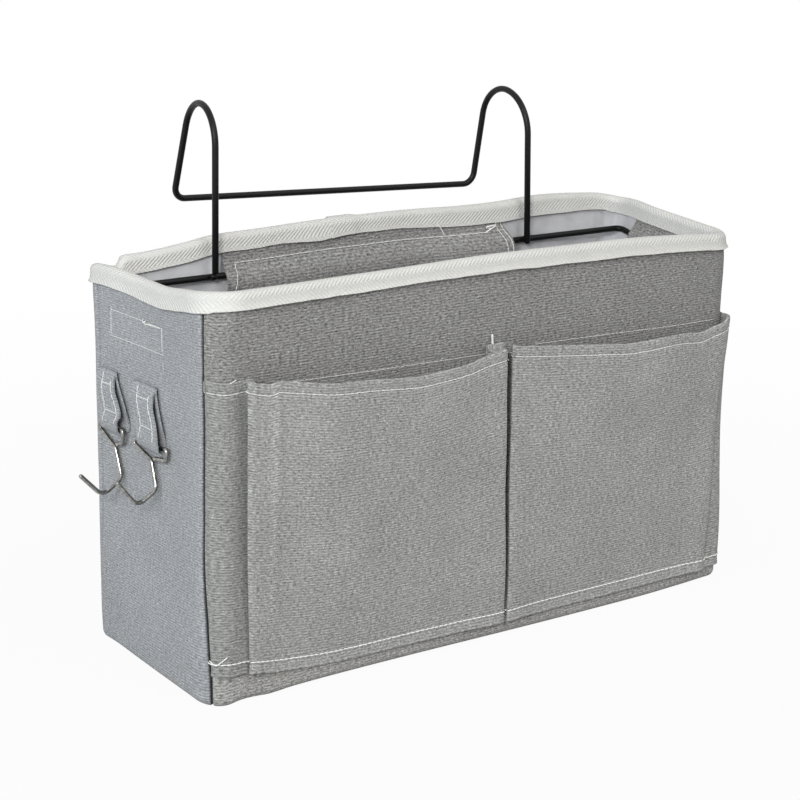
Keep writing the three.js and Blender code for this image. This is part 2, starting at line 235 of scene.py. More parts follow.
def outward_at(place, level):
    """The outward direction of the wall."""
    return (wall_point(place, level, -1) - wall_point(place, level, 1)).normalized()


def front_seam(level):
    """How far the front and back cloths wrap round the corners, past their middle."""
    return 5.0 * smooth(3, 75, level) + 0.8 * smooth(110, 160, level)


def spaced(start, end, step):
    count = max(1, round(abs(end - start) / step))
    return [start + (end - start) * index / count for index in range(count + 1)]


# Meshes: the angle past which an edge stays sharp, and how a wire's end narrows over its last radius
CREASE = math.radians(50)
ROUND_END = ((0, 0.3), (0.1, 0.62), (0.35, 0.87), (0.8, 1.0))


def only(*pieces):
    """Leaves just these pieces selected, with the first one active."""
    if bpy.context.object and bpy.context.object.mode != "OBJECT":
        bpy.ops.object.mode_set(mode="OBJECT")
    bpy.ops.object.select_all(action="DESELECT")
    for piece in pieces:
        piece.select_set(True)
    bpy.context.view_layer.objects.active = pieces[0] if pieces else None


def modify(piece, kind, **settings):
    """Adds a modifier with its settings and applies it."""
    only(piece)
    modifier = piece.modifiers.new(kind.title(), kind)
    for name, value in settings.items():
        setattr(modifier, name, value)
    bpy.ops.object.modifier_apply(modifier=modifier.name)


def join(name, pieces):
    only(*pieces)
    bpy.ops.object.join()
    pieces[0].name = name
    pieces[0].data.name = name
    return pieces[0]


def sheet_of(name, across, up, put, thickness, offset=-1.0):
    """A grid of cloth, thickened: put gives each vertex its point and its place on the flat cloth."""
    only()
    bpy.ops.mesh.primitive_grid_add(x_subdivisions=len(across) - 1, y_subdivisions=len(up) - 1,
                                    size=1)
    piece = bpy.context.object
    piece.name = name
    piece.data.name = name
    flat = []
    for index, vertex in enumerate(piece.data.vertices):
        row, column = divmod(index, len(across))
        point, cut = put(across[column], up[row])
        vertex.co = point * MM
        flat.append((cut[0] * MM, cut[1] * MM))
    weave = piece.data.uv_layers.active
    weave.name = "weave"
    for loop in piece.data.loops:
        weave.data[loop.index].uv = flat[loop.vertex_index]
    if thickness:
        modify(piece, "SOLIDIFY", thickness=thickness * MM, offset=offset, use_quality_normals=True)
    only(piece)
    bpy.ops.object.shade_smooth_by_angle(angle=CREASE)
    return piece


def rounded(corners, steps=10):
    """Points of a wire bent at its corners, each given as a point and a bend radius."""
    places = [Vector(place) for place, _ in corners]
    points = [places[0]]
    for before, at, after, (_, radius) in zip(places, places[1:], places[2:], corners[1:]):
        incoming = (at - before).normalized()
        outgoing = (after - at).normalized()
        angle = incoming.angle(outgoing)
        inward = (outgoing - incoming * incoming.dot(outgoing)).normalized()
        centre = at - incoming * radius * math.tan(angle / 2) + inward * radius
        for step in range(steps + 1):
            turn = angle * step / steps
            points.append(centre - inward * radius * math.cos(turn)
                          + incoming * radius * math.sin(turn))
    return points + [places[-1]]


def with_round_ends(points, radius):
    """Adds points near both ends, with the share of the radius that rounds them off."""
    caps = []
    for end, following in ((0, 1), (-1, -2)):
        direction = (points[following] - points[end]).normalized()
        caps.append([(points[end] + direction * radius * gone, share) for gone, share in ROUND_END])
    return caps[0] + [(point, 1.0) for point in points[1:-1]] + caps[1][::-1]


def in_scene(name, data):
    """A new object for a mesh or curve, left selected."""
    piece = bpy.data.objects.new(name, data)
    bpy.context.scene.collection.objects.link(piece)
    only(piece)
    return piece


def wire(name, points, diameter, sides=5):
    """A round wire or thread through points, as a mesh."""
    curve = bpy.data.curves.new(name, "CURVE")
    curve.dimensions = "3D"
    curve.bevel_depth = diameter / 2 * MM
    curve.bevel_resolution = sides
    curve.use_fill_caps = True
    line = curve.splines.new("POLY")
    marked = with_round_ends(points, diameter / 2)
    line.points.add(len(marked) - 1)
    for target, (point, share) in zip(line.points, marked):
        target.co = (*(point * MM), 1)
        target.radius = share
    in_scene(name, curve)
    bpy.ops.object.convert(target="MESH")
    bpy.ops.object.shade_smooth_by_angle(angle=CREASE)
    return bpy.context.object


def smooth_line(points):
    """A finer line through loose points."""
    return [on_line(points, step / 6) for step in range(6 * (len(points) - 1) + 1)]


def walked_along(points):
    """Distances from the start of a line to each of its points."""
    walked = [0.0]
    for first, second in zip(points, points[1:]):
        walked.append(walked[-1] + (second - first).length)
    return walked


def stitch_shape():
    """One sunk stitch, modelled about the origin along X: a short fat thread with pinched ends."""
    only()
    bpy.ops.mesh.primitive_uv_sphere_add(segments=6, ring_count=6, radius=1)
    piece = bpy.context.object
    bpy.ops.object.mode_set(mode="EDIT")
    bpy.ops.mesh.select_all(action="SELECT")
    bpy.ops.transform.rotate(value=math.pi / 2, orient_axis="Y", center_override=(0, 0, 0))
    bpy.ops.object.mode_set(mode="OBJECT")
    points = [vertex.co.copy() for vertex in piece.data.vertices]
    faces = [tuple(polygon.vertices) for polygon in piece.data.polygons]
    bpy.data.objects.remove(piece)
    return points, faces


def stitch_row(name, rows, pitch, thread, seed):
    """Copies the stitch along rows of (point, normal) pairs as one piece of thread."""
    shape, shape_faces = stitch_shape()
    chance = random.Random(seed)
    points = []
    faces = []
    for row in rows:
        walked = walked_along([point for point, _ in row])
        count = max(1, round(walked[-1] / pitch))
        step = walked[-1] / count
        for number in range(count):
            middle = (number + 0.5 + chance.uniform(-0.05, 0.05)) * step
            index = min(bisect.bisect_right(walked, middle), len(row) - 1)
            share = (middle - walked[index - 1]) / max(walked[index] - walked[index - 1], 1e-6)
            spot = row[index - 1][0].lerp(row[index][0], share)
            lift = row[index - 1][1].lerp(row[index][1], share).normalized()
            along = (row[index][0] - row[index - 1][0]).normalized()
            along = (along + lift.cross(along) * chance.uniform(-0.1, 0.1)).normalized()
            side = lift.cross(along).normalized()
            half = step * chance.uniform(0.53, 0.6)
            first_point = len(points)
            for local in shape:
                arch = 0.35 * thread * (1 - local.x * local.x)
                offset = along * (local.x * half) + side * (local.y * thread / 2)
                points.append((spot + offset + lift * (local.z * thread / 2 + arch)) * MM)
            faces += [tuple(first_point + corner for corner in face) for face in shape_faces]
    mesh = bpy.data.meshes.new(name)
    mesh.from_pydata(points, [], faces)
    piece = in_scene(name, mesh)
    bpy.ops.object.shade_smooth()
    return piece


def finish_piece(piece, material, body="caddy", nodes=()):
    """Gives a piece its material and its body, and hides the CAD nodes it stands for."""
    piece.data.materials.clear()
    piece.data.materials.append(material)
    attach(piece, body)
    if nodes:
        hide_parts(*nodes)


# Materials
def linear(colour):
    """Turns an sRGB hex colour into linear values."""
    shares = [int(colour[index:index + 2], 16) / 255 for index in (0, 2, 4)]
    return [s / 12.92 if s <= 0.04045 else ((s + 0.055) / 1.055) ** 2.4 for s in shares] + [1.0]


def add_node(tree, kind, inputs=(), **settings):
    """Adds a node: settings are its options, and inputs holds values, other nodes' outputs, or other
    nodes, which give their first output."""
    node = tree.nodes.new(kind)
    for name, value in settings.items():
        setattr(node, name, value)
    for socket, value in dict(inputs).items():
        if isinstance(value, bpy.types.Node):
            value = value.outputs[0]
        if isinstance(value, bpy.types.NodeSocket):
            tree.links.new(value, node.inputs[socket])
        else:
            node.inputs[socket].default_value = value
    return node


def new_material(name, on_cloth=False):
    """A material, its nodes, the user's colours and the place that its patterns go by."""
    material = bpy.data.materials.new(name)
    material.use_nodes = True
    tree = material.node_tree
    if on_cloth:
        place = add_node(tree, "ShaderNodeUVMap", uv_map="weave").outputs["UV"]
    else:
        place = add_node(tree, "ShaderNodeTexCoord").outputs["Object"]
    return material, tree, bpy.context.scene.caddy_colours, place


def set_values(shader, **values):
    """Sets plain values on a shader, with _ for the spaces in their names."""
    for name, value in values.items():
        shader.inputs[name.replace("_", " ")].default_value = value


def in_100_mm(count):
    """The scale of a pattern with so many waves in 100 mm."""
    return count / (100 * MM)


def dress(tree, colour, tones, relief=None, gloss=None, **values):
    """Finishes a shader: tones vary its colour between two values as a pattern goes from low to high,
    relief is a pattern with its strength and its depth in millimetres, and gloss is a pattern with the
    least and greatest roughness."""
    shader = tree.nodes["Principled BSDF"]
    product = 1.0
    for pattern, low, high, first, last in tones:
        tone = add_node(tree, "ShaderNodeMapRange", {"Value": pattern, "From Min": low, "From Max": high,
                                                     "To Min": first, "To Max": last})
        product = add_node(tree, "ShaderNodeMath", {0: tone, 1: product}, operation="MULTIPLY")
    painted = add_node(tree, "ShaderNodeVectorMath", {0: colour[:3], 1: product}, operation="MULTIPLY")
    tree.links.new(painted.outputs[0], shader.inputs["Base Color"])
    if relief:
        height, strength, depth = relief
        bump = add_node(tree, "ShaderNodeBump", {"Height": height, "Strength": strength,
                                                 "Distance": depth * MM})
        tree.links.new(bump.outputs[0], shader.inputs["Normal"])
    if gloss:
        pattern, least, greatest = gloss
        varied = add_node(tree, "ShaderNodeMapRange", {"Value": pattern, "To Min": least,
                                                       "To Max": greatest})
        tree.links.new(varied.outputs[0], shader.inputs["Roughness"])
    set_values(shader, **values)


# Tones of painted shade inside the corner seam and in the slit between the pockets
PAINTED_SEAM_SHADE = 0.15
PAINTED_SLIT_SHADE = 0.6
LINEN_SHADES = {
    # strength of the weft's tones, then bands: axis of the flat cloth, two places and their tones
    # the left panel's front edge gets painted shade inside the front left corner seam
    "walls": (0.54, (("X", PERIMETER - 0.4, PERIMETER + 0.1, 1.0, PAINTED_SEAM_SHADE),)),
    # the front's foot is painted paler, painted light from the floor's bounce, and its left edge gets
    # painted shade inside the corner seam
    "front": (0.9, (("Y", 20, 130, 1.42, 1.0), ("X", -0.1, 0.4, PAINTED_SEAM_SHADE, 1.0))),
    # the left pocket's first folds get painted shade under the pleat, lifted again past 34 mm, and the
    # right pocket's left end gets painted shade in the slit between the pockets
    "pockets": (0.75, (("X", 2, 22, 0.8, 0.77), ("X", 30, 34, 1.0, 1.3),
                       ("X", 206, 207.5, 1.0, PAINTED_SLIT_SHADE), ("X", 212, 216, 1.0, 1 / PAINTED_SLIT_SHADE))),
}
# Waves in 100 mm across and up, and detail, of the linen's weft, warp, slubs and clouds
LINEN_PATTERNS = (((56, 130), 4), ((100, 15), 2), ((80, 20), 1), ((2.8, 2.8), 3))
# Millimetres between the linen's ribs, between the tape's ribs and across one of its chevrons
RIB_PITCH = 1.2
TWILL_PITCH = 2.2
CHEVRON = 4.5


@functools.cache
def linen_weave(shade):
    """Cotton and linen plain weave, piece dyed, in one of its shades. It is dry and matt: uneven weft
    threads make short cross ribs, drawn 1.2 mm apart instead of 0.7 so that they show, with pale
    slubs. The front's foot is painted paler, painted light from the floor's bounce. The front left seam
    and the slit between the pockets get painted shade, and so do the left pocket's first folds."""
    material, tree, colours, flat = new_material(f"linen_plain_weave_{shade}", True)
    patterns = []
    for counts, detail in LINEN_PATTERNS:
        run = add_node(tree, "ShaderNodeMapping", {"Vector": flat,
                                                   "Scale": (*map(in_100_mm, counts), 1)})
        patterns.append(add_node(tree, "ShaderNodeTexNoise", {"Vector": run, "Scale": 1,
                                                              "Detail": detail, "Roughness": 0.75}))
    weft, warp, slub, cloud = patterns
    ribs = add_node(tree, "ShaderNodeTexWave", {
        "Vector": flat, "Scale": math.pi / (10 * RIB_PITCH * MM), "Distortion": 2.4, "Detail": 2,
        "Detail Scale": 0.9}, bands_direction="Y").outputs["Fac"]
    place = add_node(tree, "ShaderNodeSeparateXYZ", {"Vector": flat}).outputs
    strength, bands = LINEN_SHADES[shade]
    tones = [(weft, 0.3, 0.7, 1 - strength, 1 + strength), (ribs, 0, 1, 0.86, 1.14),
             (warp, 0.3, 0.7, 0.9, 1.1), (slub, 0.63, 0.74, 1.0, 1.28), (cloud, 0.3, 0.7, 0.93, 1.07)]
    for axis, low, high, first, last in bands:
        tones.append((place[axis], low * MM, high * MM, first, last))
    height = add_node(tree, "ShaderNodeMath", {0: weft, 1: ribs}, operation="ADD")
    dress(tree, getattr(colours, shade), tones, relief=(height, 0.4, 0.35), Roughness=0.94,
          Specular_IOR_Level=0.2, Sheen_Weight=0.1, Sheen_Roughness=0.6)
    return material


@functools.cache
def herringbone_tape():
    """Bleached cotton herringbone tape, woven: off-white and matt, with chevrons drawn about 2 mm
    apart along the tape, coarser than the real 1 mm so that they show."""
    material, tree, colours, flat = new_material("cotton_herringbone_tape", True)
    place = add_node(tree, "ShaderNodeSeparateXYZ", {"Vector": flat}).outputs
    zigzag = add_node(tree, "ShaderNodeMath", {0: place["Y"], 1: CHEVRON * MM}, operation="PINGPONG")
    run = add_node(tree, "ShaderNodeMath", {0: zigzag, 1: 1.2, 2: place["X"]}, operation="MULTIPLY_ADD")
    turns = add_node(tree, "ShaderNodeMath", {0: run, 1: 2 * math.pi / (TWILL_PITCH * MM)},
                     operation="MULTIPLY")
    rib = add_node(tree, "ShaderNodeMath", {0: turns}, operation="SINE")
    fluff = add_node(tree, "ShaderNodeTexNoise", {"Vector": flat, "Scale": in_100_mm(90), "Detail": 3})
    soil = add_node(tree, "ShaderNodeTexNoise", {"Vector": flat, "Scale": in_100_mm(4), "Detail": 2})
    height = add_node(tree, "ShaderNodeMath", {0: fluff, 1: 1.6, 2: rib}, operation="MULTIPLY_ADD")
    tones = ((rib, -1, 1, 0.93, 1.02), (fluff, 0.3, 0.7, 0.93, 1.04), (soil, 0.3, 0.7, 0.96, 1.02))
    dress(tree, colours.tape, tones, relief=(height, 0.42, 0.3), Roughness=0.9, Specular_IOR_Level=0.25)
    return material


@functools.cache
def film_lining():
    """Thin embossed EVA film, cast and sewn in: pale grey with a soft sheen and fine creases."""
    material, tree, colours, flat = new_material("eva_film_lining", True)
    creases = add_node(tree, "ShaderNodeTexNoise", {"Vector": flat, "Scale": in_100_mm(6), "Detail": 4,
                                                    "Distortion": 1.5})
    pips = add_node(tree, "ShaderNodeTexVoronoi", {"Vector": flat, "Scale": in_100_mm(90)})
    height = add_node(tree, "ShaderNodeMath", {0: pips, 1: 0.12, 2: creases}, operation="MULTIPLY_ADD")
    dress(tree, colours.lining, ((creases, 0.3, 0.7, 0.84, 1.08),), relief=(height, 0.5, 1.2),
          gloss=(creases, 0.38, 0.55), IOR=1.49)
    return material


@functools.cache
def spun_thread():
    """Spun polyester sewing thread: white, matt, twisted, with a little shade between its fibres."""
    material, tree, colours, spot = new_material("spun_polyester_thread")
    fibres = add_node(tree, "ShaderNodeTexNoise", {"Vector": spot, "Scale": in_100_mm(250), "Detail": 2})
    dress(tree, colours.thread, ((fibres, 0, 1, 0.84, 1.08),), relief=(fibres, 0.4, 0.2), Roughness=0.7,
          Sheen_Weight=0.2)
    return material


@functools.cache
def black_coat():
    """Black epoxy powder coat on steel wire, sprayed and baked: satin, with a faint orange peel."""
    material, tree, colours, spot = new_material("black_powder_coat")
    peel = add_node(tree, "ShaderNodeTexNoise", {"Vector": spot, "Scale": in_100_mm(70), "Detail": 2})
    dust = add_node(tree, "ShaderNodeTexNoise", {"Vector": spot, "Scale": in_100_mm(9), "Detail": 4})
    dress(tree, colours.coat, ((dust, 0, 1, 0.7, 1.3),), relief=(peel, 0.25, 0.2),
          gloss=(dust, 0.34, 0.5), IOR=1.5, Specular_IOR_Level=0.22)
    return material


@functools.cache
def nickel_plate():
    """Bright nickel plate on drawn steel wire: warm grey metal with darker streaks along the drawn wire.
    The grey and the streaks are partly the plate's own and partly painted shade, the dark surroundings
    that the metal mirrors.
    """
    material, tree, colours, spot = new_material("nickel_plated_wire")
    drawn = add_node(tree, "ShaderNodeTexNoise", {"Vector": spot, "Scale": in_100_mm(50), "Detail": 3})
    # the grey plate and the streaks' darker tones are partly painted shade of mirrored surroundings
    dress(tree, colours.nickel, ((drawn, 0.3, 0.7, 0.5, 1.2),), gloss=(drawn, 0.12, 0.3), Metallic=1.0)
    return material


@functools.cache
def sheet_foam():
    """Closed-cell polyethylene foam, extruded and skived: off-white cells under a millimetre."""
    material, tree, colours, spot = new_material("polyethylene_foam")
    cells = add_node(tree, "ShaderNodeTexVoronoi", {"Vector": spot, "Scale": in_100_mm(140)})
    dress(tree, colours.foam, ((cells, 0, 1, 0.85, 1.05),), relief=(cells, 0.5, 0.3), Roughness=0.85)
    return material


@functools.cache
def grey_board():
    """Pressed paperboard, unlined: brown grey with short fibres."""
    material, tree, colours, spot = new_material("pressed_paperboard")
    fibres = add_node(tree, "ShaderNodeTexNoise", {"Vector": spot, "Scale": in_100_mm(30), "Detail": 5,
                                                   "Distortion": 2.0})
    dress(tree, colours.board, ((fibres, 0, 1, 0.8, 1.15),), Roughness=0.9)
    return material


# Settings that a user would change
def millimetres(name, description, default):
    return bpy.props.FloatProperty(name=name, description=description, default=default * MM, min=0,
                                   unit="LENGTH", precision=5)


def colour_of(name, description, default):
    return bpy.props.FloatVectorProperty(name=name, description=description, default=linear(default),
                                         size=4, min=0, max=1, subtype="COLOR")


class CaddySizes(bpy.types.PropertyGroup):
    """Sizes of the caddy's soft and wire pieces"""

    cloth: millimetres("Cloth", "Thickness of the linen", 0.8)
    foam: millimetres("Foam", "Thickness of the foam sheets", 1.5)
    film: millimetres("Lining", "Thickness of the film lining", 0.4)
    tape: millimetres("Tape", "Thickness of the rim tape", 0.7)
    tape_width: millimetres("Tape width", "Width of the rim tape before it is folded", 19.5)
    stitch: millimetres("Stitch", "Length of one stitch", 2.7)
    thread: millimetres("Thread", "Thickness of the sewing thread", 0.42)
    rod: millimetres("Hanger rod", "Diameter of the hanger's rods", 3.1)
    hook: millimetres("Hook wire", "Diameter of the hooks' wire", 2.0)


class CaddyColours(bpy.types.PropertyGroup):
    """Colours of the caddy's materials"""

    walls: colour_of("Walls", "Dyed linen of the sides, the back and the straps", "9FA1A4")
    front: colour_of("Front", "Dyed linen of the front wall and the sleeves", "8B8A88")
    pockets: colour_of("Pockets", "Dyed linen of the pockets", "A0A09E")
    tape: colour_of("Tape", "Rim tape", "DEDDD9")
    lining: colour_of("Lining", "Film lining", "D1D1D4")
    thread: colour_of("Thread", "Sewing thread", "F2F1EE")
    coat: colour_of("Coat", "Powder coat of the hanger", "09090A")
    nickel: colour_of("Nickel", "Plating of the hooks", "9E9D9A")
    foam: colour_of("Foam", "Foam sheets", "E4E4E0")
    board: colour_of("Board", "Base board", "8F7A5E")


def sizes_in_mm():
    """The user's sizes in millimetres."""
    sizes = bpy.context.scene.caddy_sizes
    return {name: getattr(sizes, name) / MM for name in CaddySizes.__annotations__}


# Walls
PANEL_SEAMS = {
    # places of the two corner seams, and the way that each moves as front and back cloths wrap round
    "front": (0, -1, FRONT_END, 1),
    "right": (FRONT_END, 1, RIGHT_END, -1),
    "back": (RIGHT_END, -1, BACK_END, 1),
    "left": (BACK_END, 1, PERIMETER, -1),
}

# Distances from a panel's seam and the depths that its edge is turned in by
PANEL_EDGE = [(-0.36, 2.6), (-0.1, 1.5), (0.15, 0.65), (0.7, 0.2), (1.7, 0.05), (2.9, 0.0)]


def foot_roll(drop):
    """Depth and level of cloth that rolls under the foot, drop millimetres below the roll's start."""
    turn = min(drop, ROLL_LENGTH) / FOOT_ROLL
    depth = FOOT_ROLL * (1 - math.cos(turn)) + max(drop - ROLL_LENGTH, 0)
    return depth, FOOT_ROLL * (1 - math.sin(turn))


def panel_edges(length, step):
    """Distances across a panel with the depths that turn its edges into the seams."""
    inner = [(distance, 0.0) for distance in spaced(4.3, length - 4.3, step)]
    far_edge = [(length - distance, depth) for distance, depth in reversed(PANEL_EDGE)]
    return PANEL_EDGE + inner + far_edge


def wall_cloth(side, cloth):
    """One outer panel, turned in at its seams and rolled under the base."""
    first, first_way, last, last_way = PANEL_SEAMS[side]
    length = last - first
    drops = spaced(ROLL_LENGTH + 4, ROLL_LENGTH, 2) + spaced(ROLL_LENGTH, 0, 0.9)[1:-1]
    rows = [(foot_roll(drop), FOOT_ROLL - drop) for drop in drops]
    rows += [((0.0, level), level) for level in spaced(FOOT_ROLL, WALL_TOP, 2.2)]

    def put(column, row):
        distance, turned_in = column
        (depth, level), cut = row
        gap = mix(0.38, 0.48, smooth(4, 24, level))
        start = first + first_way * front_seam(level) + gap
        end = last + last_way * front_seam(level) - gap
        place = mix(start, end, distance / length)
        return wall_point(place, level, depth + turned_in), (first + distance, cut)

    return sheet_of(f"{side}_cloth", panel_edges(length, 2.3), rows, put, cloth)


def base_plate(name, depth, level, thickness):
    """A flat sheet to the bag's plan, drawn in by a depth."""
    across, up = [spaced(-1, 1, 4 / half) for half in (HALF_WIDTH, HALF_DEPTH)]

    def put(column, row):
        reach = max(abs(column), abs(row), 1e-6)
        east, north = column / reach, row / reach
        if abs(row) >= abs(column):
            place = (east + 1) * HALF_WIDTH if row < 0 else RIGHT_END + (1 - east) * HALF_WIDTH
        elif column > 0:
            place = FRONT_END + (north + 1) * HALF_DEPTH
        else:
            place = BACK_END + (1 - north) * HALF_DEPTH
        point = wall_point(place, level, depth) * reach
        point.z = level - follow(FOOT_SAG, place) * reach ** 8
        return point, (column * HALF_WIDTH, row * HALF_DEPTH)

    return sheet_of(name, across, up, put, thickness, offset=1.0)


class CADDY_OT_walls(bpy.types.Operator):
    """Adds the four outer panels and the base cloth"""

    bl_idname = "caddy.walls"
    bl_label = "Outer Cloth"

    def execute(self, context):
        cloth = sizes_in_mm()["cloth"]
        for side in PANEL_SEAMS:
            shade = "front" if side == "front" else "walls"
            piece = wall_cloth(side, cloth)
            finish_piece(piece, linen_weave(shade), nodes=[f"{side}_panel"])
        plate = base_plate("base_cloth", FOOT_ROLL + 0.4, cloth + 0.1, cloth)
        finish_piece(plate, linen_weave("walls"), nodes=["base_panel"])
        return {"FINISHED"}


class CADDY_OT_stiffeners(bpy.types.Operator):
    """Adds the foam sheets of the walls and the board of the base"""

    bl_idname = "caddy.stiffeners"
    bl_label = "Foam and Board"

    def execute(self, context):
        foam = sizes_in_mm()["foam"]

        def put(place, level):
            return wall_point(place, level, FOAM_DEPTH), (place, level)

        margin = WIDEST_RADIUS + 2
        levels = spaced(7, WALL_TOP - 0.5, 5)
        for side, (start, half, *_) in zip(PANEL_SEAMS, WALLS):
            across = spaced(start + margin, start + 2 * half - margin, 5)
            piece = sheet_of(f"{side}_foam_sheet", across, levels, put, foam)
            finish_piece(piece, sheet_foam(), nodes=[f"{side}_foam"])
        board = base_plate("stiff_board", 6.0, 1.9, 1.3)
        finish_piece(board, grey_board(), nodes=["base_board"])
        return {"FINISHED"}


class CADDY_OT_lining(bpy.types.Operator):
    """Adds the film lining inside the walls and on the base"""

    bl_idname = "caddy.lining"
    bl_label = "Lining"

    def execute(self, context):
        film = sizes_in_mm()["film"]
        for side, (first, _, last, _) in PANEL_SEAMS.items():
            def put(column, level):
                distance, turned_in = column
                place = first + SEAM_GAP + distance * (1 - 2 * SEAM_GAP / (last - first))
                gathers = 0.5 + 0.5 * math.sin(place * 0.62 + 2.2 * ripple((place, level, 0), 30, 5))
                near_rim = smooth(HEIGHT - 60, HEIGHT - 16, level)
                corners = max(bell(distance, 0, 24), bell(distance, last - first, 24))
                pucker = 0.55 * gathers * near_rim * (0.25 + 0.75 * corners)
                depth = LINING_DEPTH + 0.12 * min(turned_in, 1) + pucker
                return wall_point(place, level, depth), (place, level)

            columns = panel_edges(last - first, 2.0)
            rows = spaced(4.3, WALL_TOP, 3.0)
            piece = sheet_of(f"{side}_film", columns, rows, put, film)
            finish_piece(piece, film_lining(), nodes=[f"{side}_lining"])
        piece = base_plate("base_film", LINING_DEPTH + 0.6, 3.5, film)
        finish_piece(piece, film_lining(), nodes=["base_lining"])
        return {"FINISHED"}


# Rim tape
TAPE_DROPS = (
    # how far the tape reaches down the outside, round the perimeter
    (-40, 9.2), (-14, 8.6), (6, 7.4), (100, 7), (220, 7.6), (300, 7.6), (345, 8.2), (400, 8.6),
    (435, 7.5), (490, 7.4), (545, 9), (690, 8.2), (725, 8.4), (750, 9.2), (776, 8.6), (796, 7.4),
)
# Places where the tape starts and stands loose, its lap, and the middle and half width of its fold
TAPE_START = 560.0
TAPE_LOOSE = 580
TAPE_LAP = 12.6
TAPE_MIDDLE = 1.9
TAPE_HALF = 2.65


def tape_section(share, outer_drop, width):
    """Depth and drop below the rim of the folded tape, share of the way in from its outer edge."""
    crown = TAPE_HALF * math.pi
    inner_drop = width - outer_drop - crown + 2 * TAPE_HALF
    outer_face = outer_drop - TAPE_HALF
    walked = share * (outer_face + crown + inner_drop - TAPE_HALF)
    if walked < outer_face:
        flare = 1.1 * (1 - walked / outer_face) ** 3
        return TAPE_MIDDLE - TAPE_HALF - flare, outer_drop - walked
    walked -= outer_face
    if walked < crown:
        turn = walked / TAPE_HALF
        return TAPE_MIDDLE - TAPE_HALF * math.cos(turn), TAPE_HALF - TAPE_HALF * math.sin(turn)
    walked -= crown
    flare = 0.35 * (walked / (inner_drop - TAPE_HALF)) ** 3
    return TAPE_MIDDLE + TAPE_HALF + flare, TAPE_HALF + walked


class CADDY_OT_binding(bpy.types.Operator):
    """Adds the herringbone tape that binds the rim, with its lapped end inside the back"""

    bl_idname = "caddy.binding"
    bl_label = "Rim Tape"

    def execute(self, context):
        sizes = sizes_in_mm()
        end = TAPE_START + PERIMETER + TAPE_LAP

        def put(place, share):
            walk = place % PERIMETER
            wave = 0.35 * ripple((walk, 0, 0), 17, 2.4) + 0.2 * ripple((walk, 9, 0), 6, 4.4)
            depth, drop = tape_section(share, follow(TAPE_DROPS, walk) + wave, sizes["tape_width"])
            lapped = smooth(end - TAPE_LAP - 5, end - TAPE_LAP, place)
            side = smooth(0.35, 0.65, share)
            loose = bell(walk, TAPE_LOOSE, 11) * smooth(0.7, 1.0, share)
            raised = 0.85 * lapped + 0.2 * ripple((walk, 40 * share, 3), 12, 1.2)
            depth += raised * (2 * side - 1) + 0.7 * loose
            drop += 1.2 * loose - 0.85 * lapped * (1 - abs(2 * side - 1))
            return wall_point(place, HEIGHT - drop, depth), (place, share * sizes["tape_width"])

        piece = sheet_of("rim_tape", spaced(TAPE_START, end, 2.0), spaced(0, 1, 1 / 22), put,
                         sizes["tape"], offset=0.0)
        finish_piece(piece, herringbone_tape(), nodes=["rim_binding"])
        return {"FINISHED"}


# Pockets
POCKET_FOOT = (
    # level of the raw foot by place
    (-6, 14.6), (14, 12.8), (36, 9.8), (61, 7.8), (100, 7.3), (150, 7.2), (205, 7.2), (250, 7.2),
    (290, 7), (310, 6.8),
)

# Height up to the mouth and as cut, the step across, and the distances of the foot's and hem's seams
POCKET_TALL = 130.0
POCKET_STEP = 0.95
FOOT_STITCH = 4.7
HEM = 4.5

# Plan lines of the pockets: the sewn foot's place and standoff, then the open mouth's, with its level
LEFT_POCKET = (
    ((-3, 0.75), (-4.4, 0.75, 143.5)), ((2, 1.7), (0.5, 1.5, 142.9)), ((7, 1.9), (4.4, 2, 142.2)),
    ((15, 0.9), (9, 1.7, 142.5)), ((25, 0.75), (13, 1.9, 142.9)), ((27.2, 1.2), (15.6, 3, 143.3)),
    ((25, 1.7), (15.2, 4.8, 143.6)), ((16.6, 1.9), (12.4, 6.2, 143.8)),
    ((14.8, 2.5), (11.6, 7.3, 143.8)), ((16.4, 3), (13.4, 8.3, 143.2)), ((20, 2.8), (17, 8.6, 142.2)),
    ((25, 2), (22.2, 9, 141.4)), ((28, 1.6), (25.6, 10.3, 142.4)), ((31, 1.3), (29, 9.9, 141.8)),
    ((37, 1), (34.5, 10.4, 140.9)), ((50, 1), (48, 12, 138.6)), ((60, 1), (58, 12.9, 137.6)),
    ((79, 1), (74.5, 13.1, 136.8)), ((95, 1), (91.6, 12.7, 135.1)), ((106, 1), (103, 12.4, 134.5)),
    ((131, 1.4), (126.3, 11.2, 135.8)),
    ((146, 2.4), (138.4, 10.6, 137.8)), ((156.4, 2.8), (149.4, 10.3, 139.2)),
    ((158.2, 2.3), (151.2, 9.6, 139.5)), ((156.4, 1.8), (150.8, 8.6, 139.7)),
    ((150, 1.7), (149.6, 4, 140.3)), ((147.6, 0.95), (148.8, 1.2, 140.6)),
    ((143, 0.75), (145.6, 0.8, 140.6)),
)
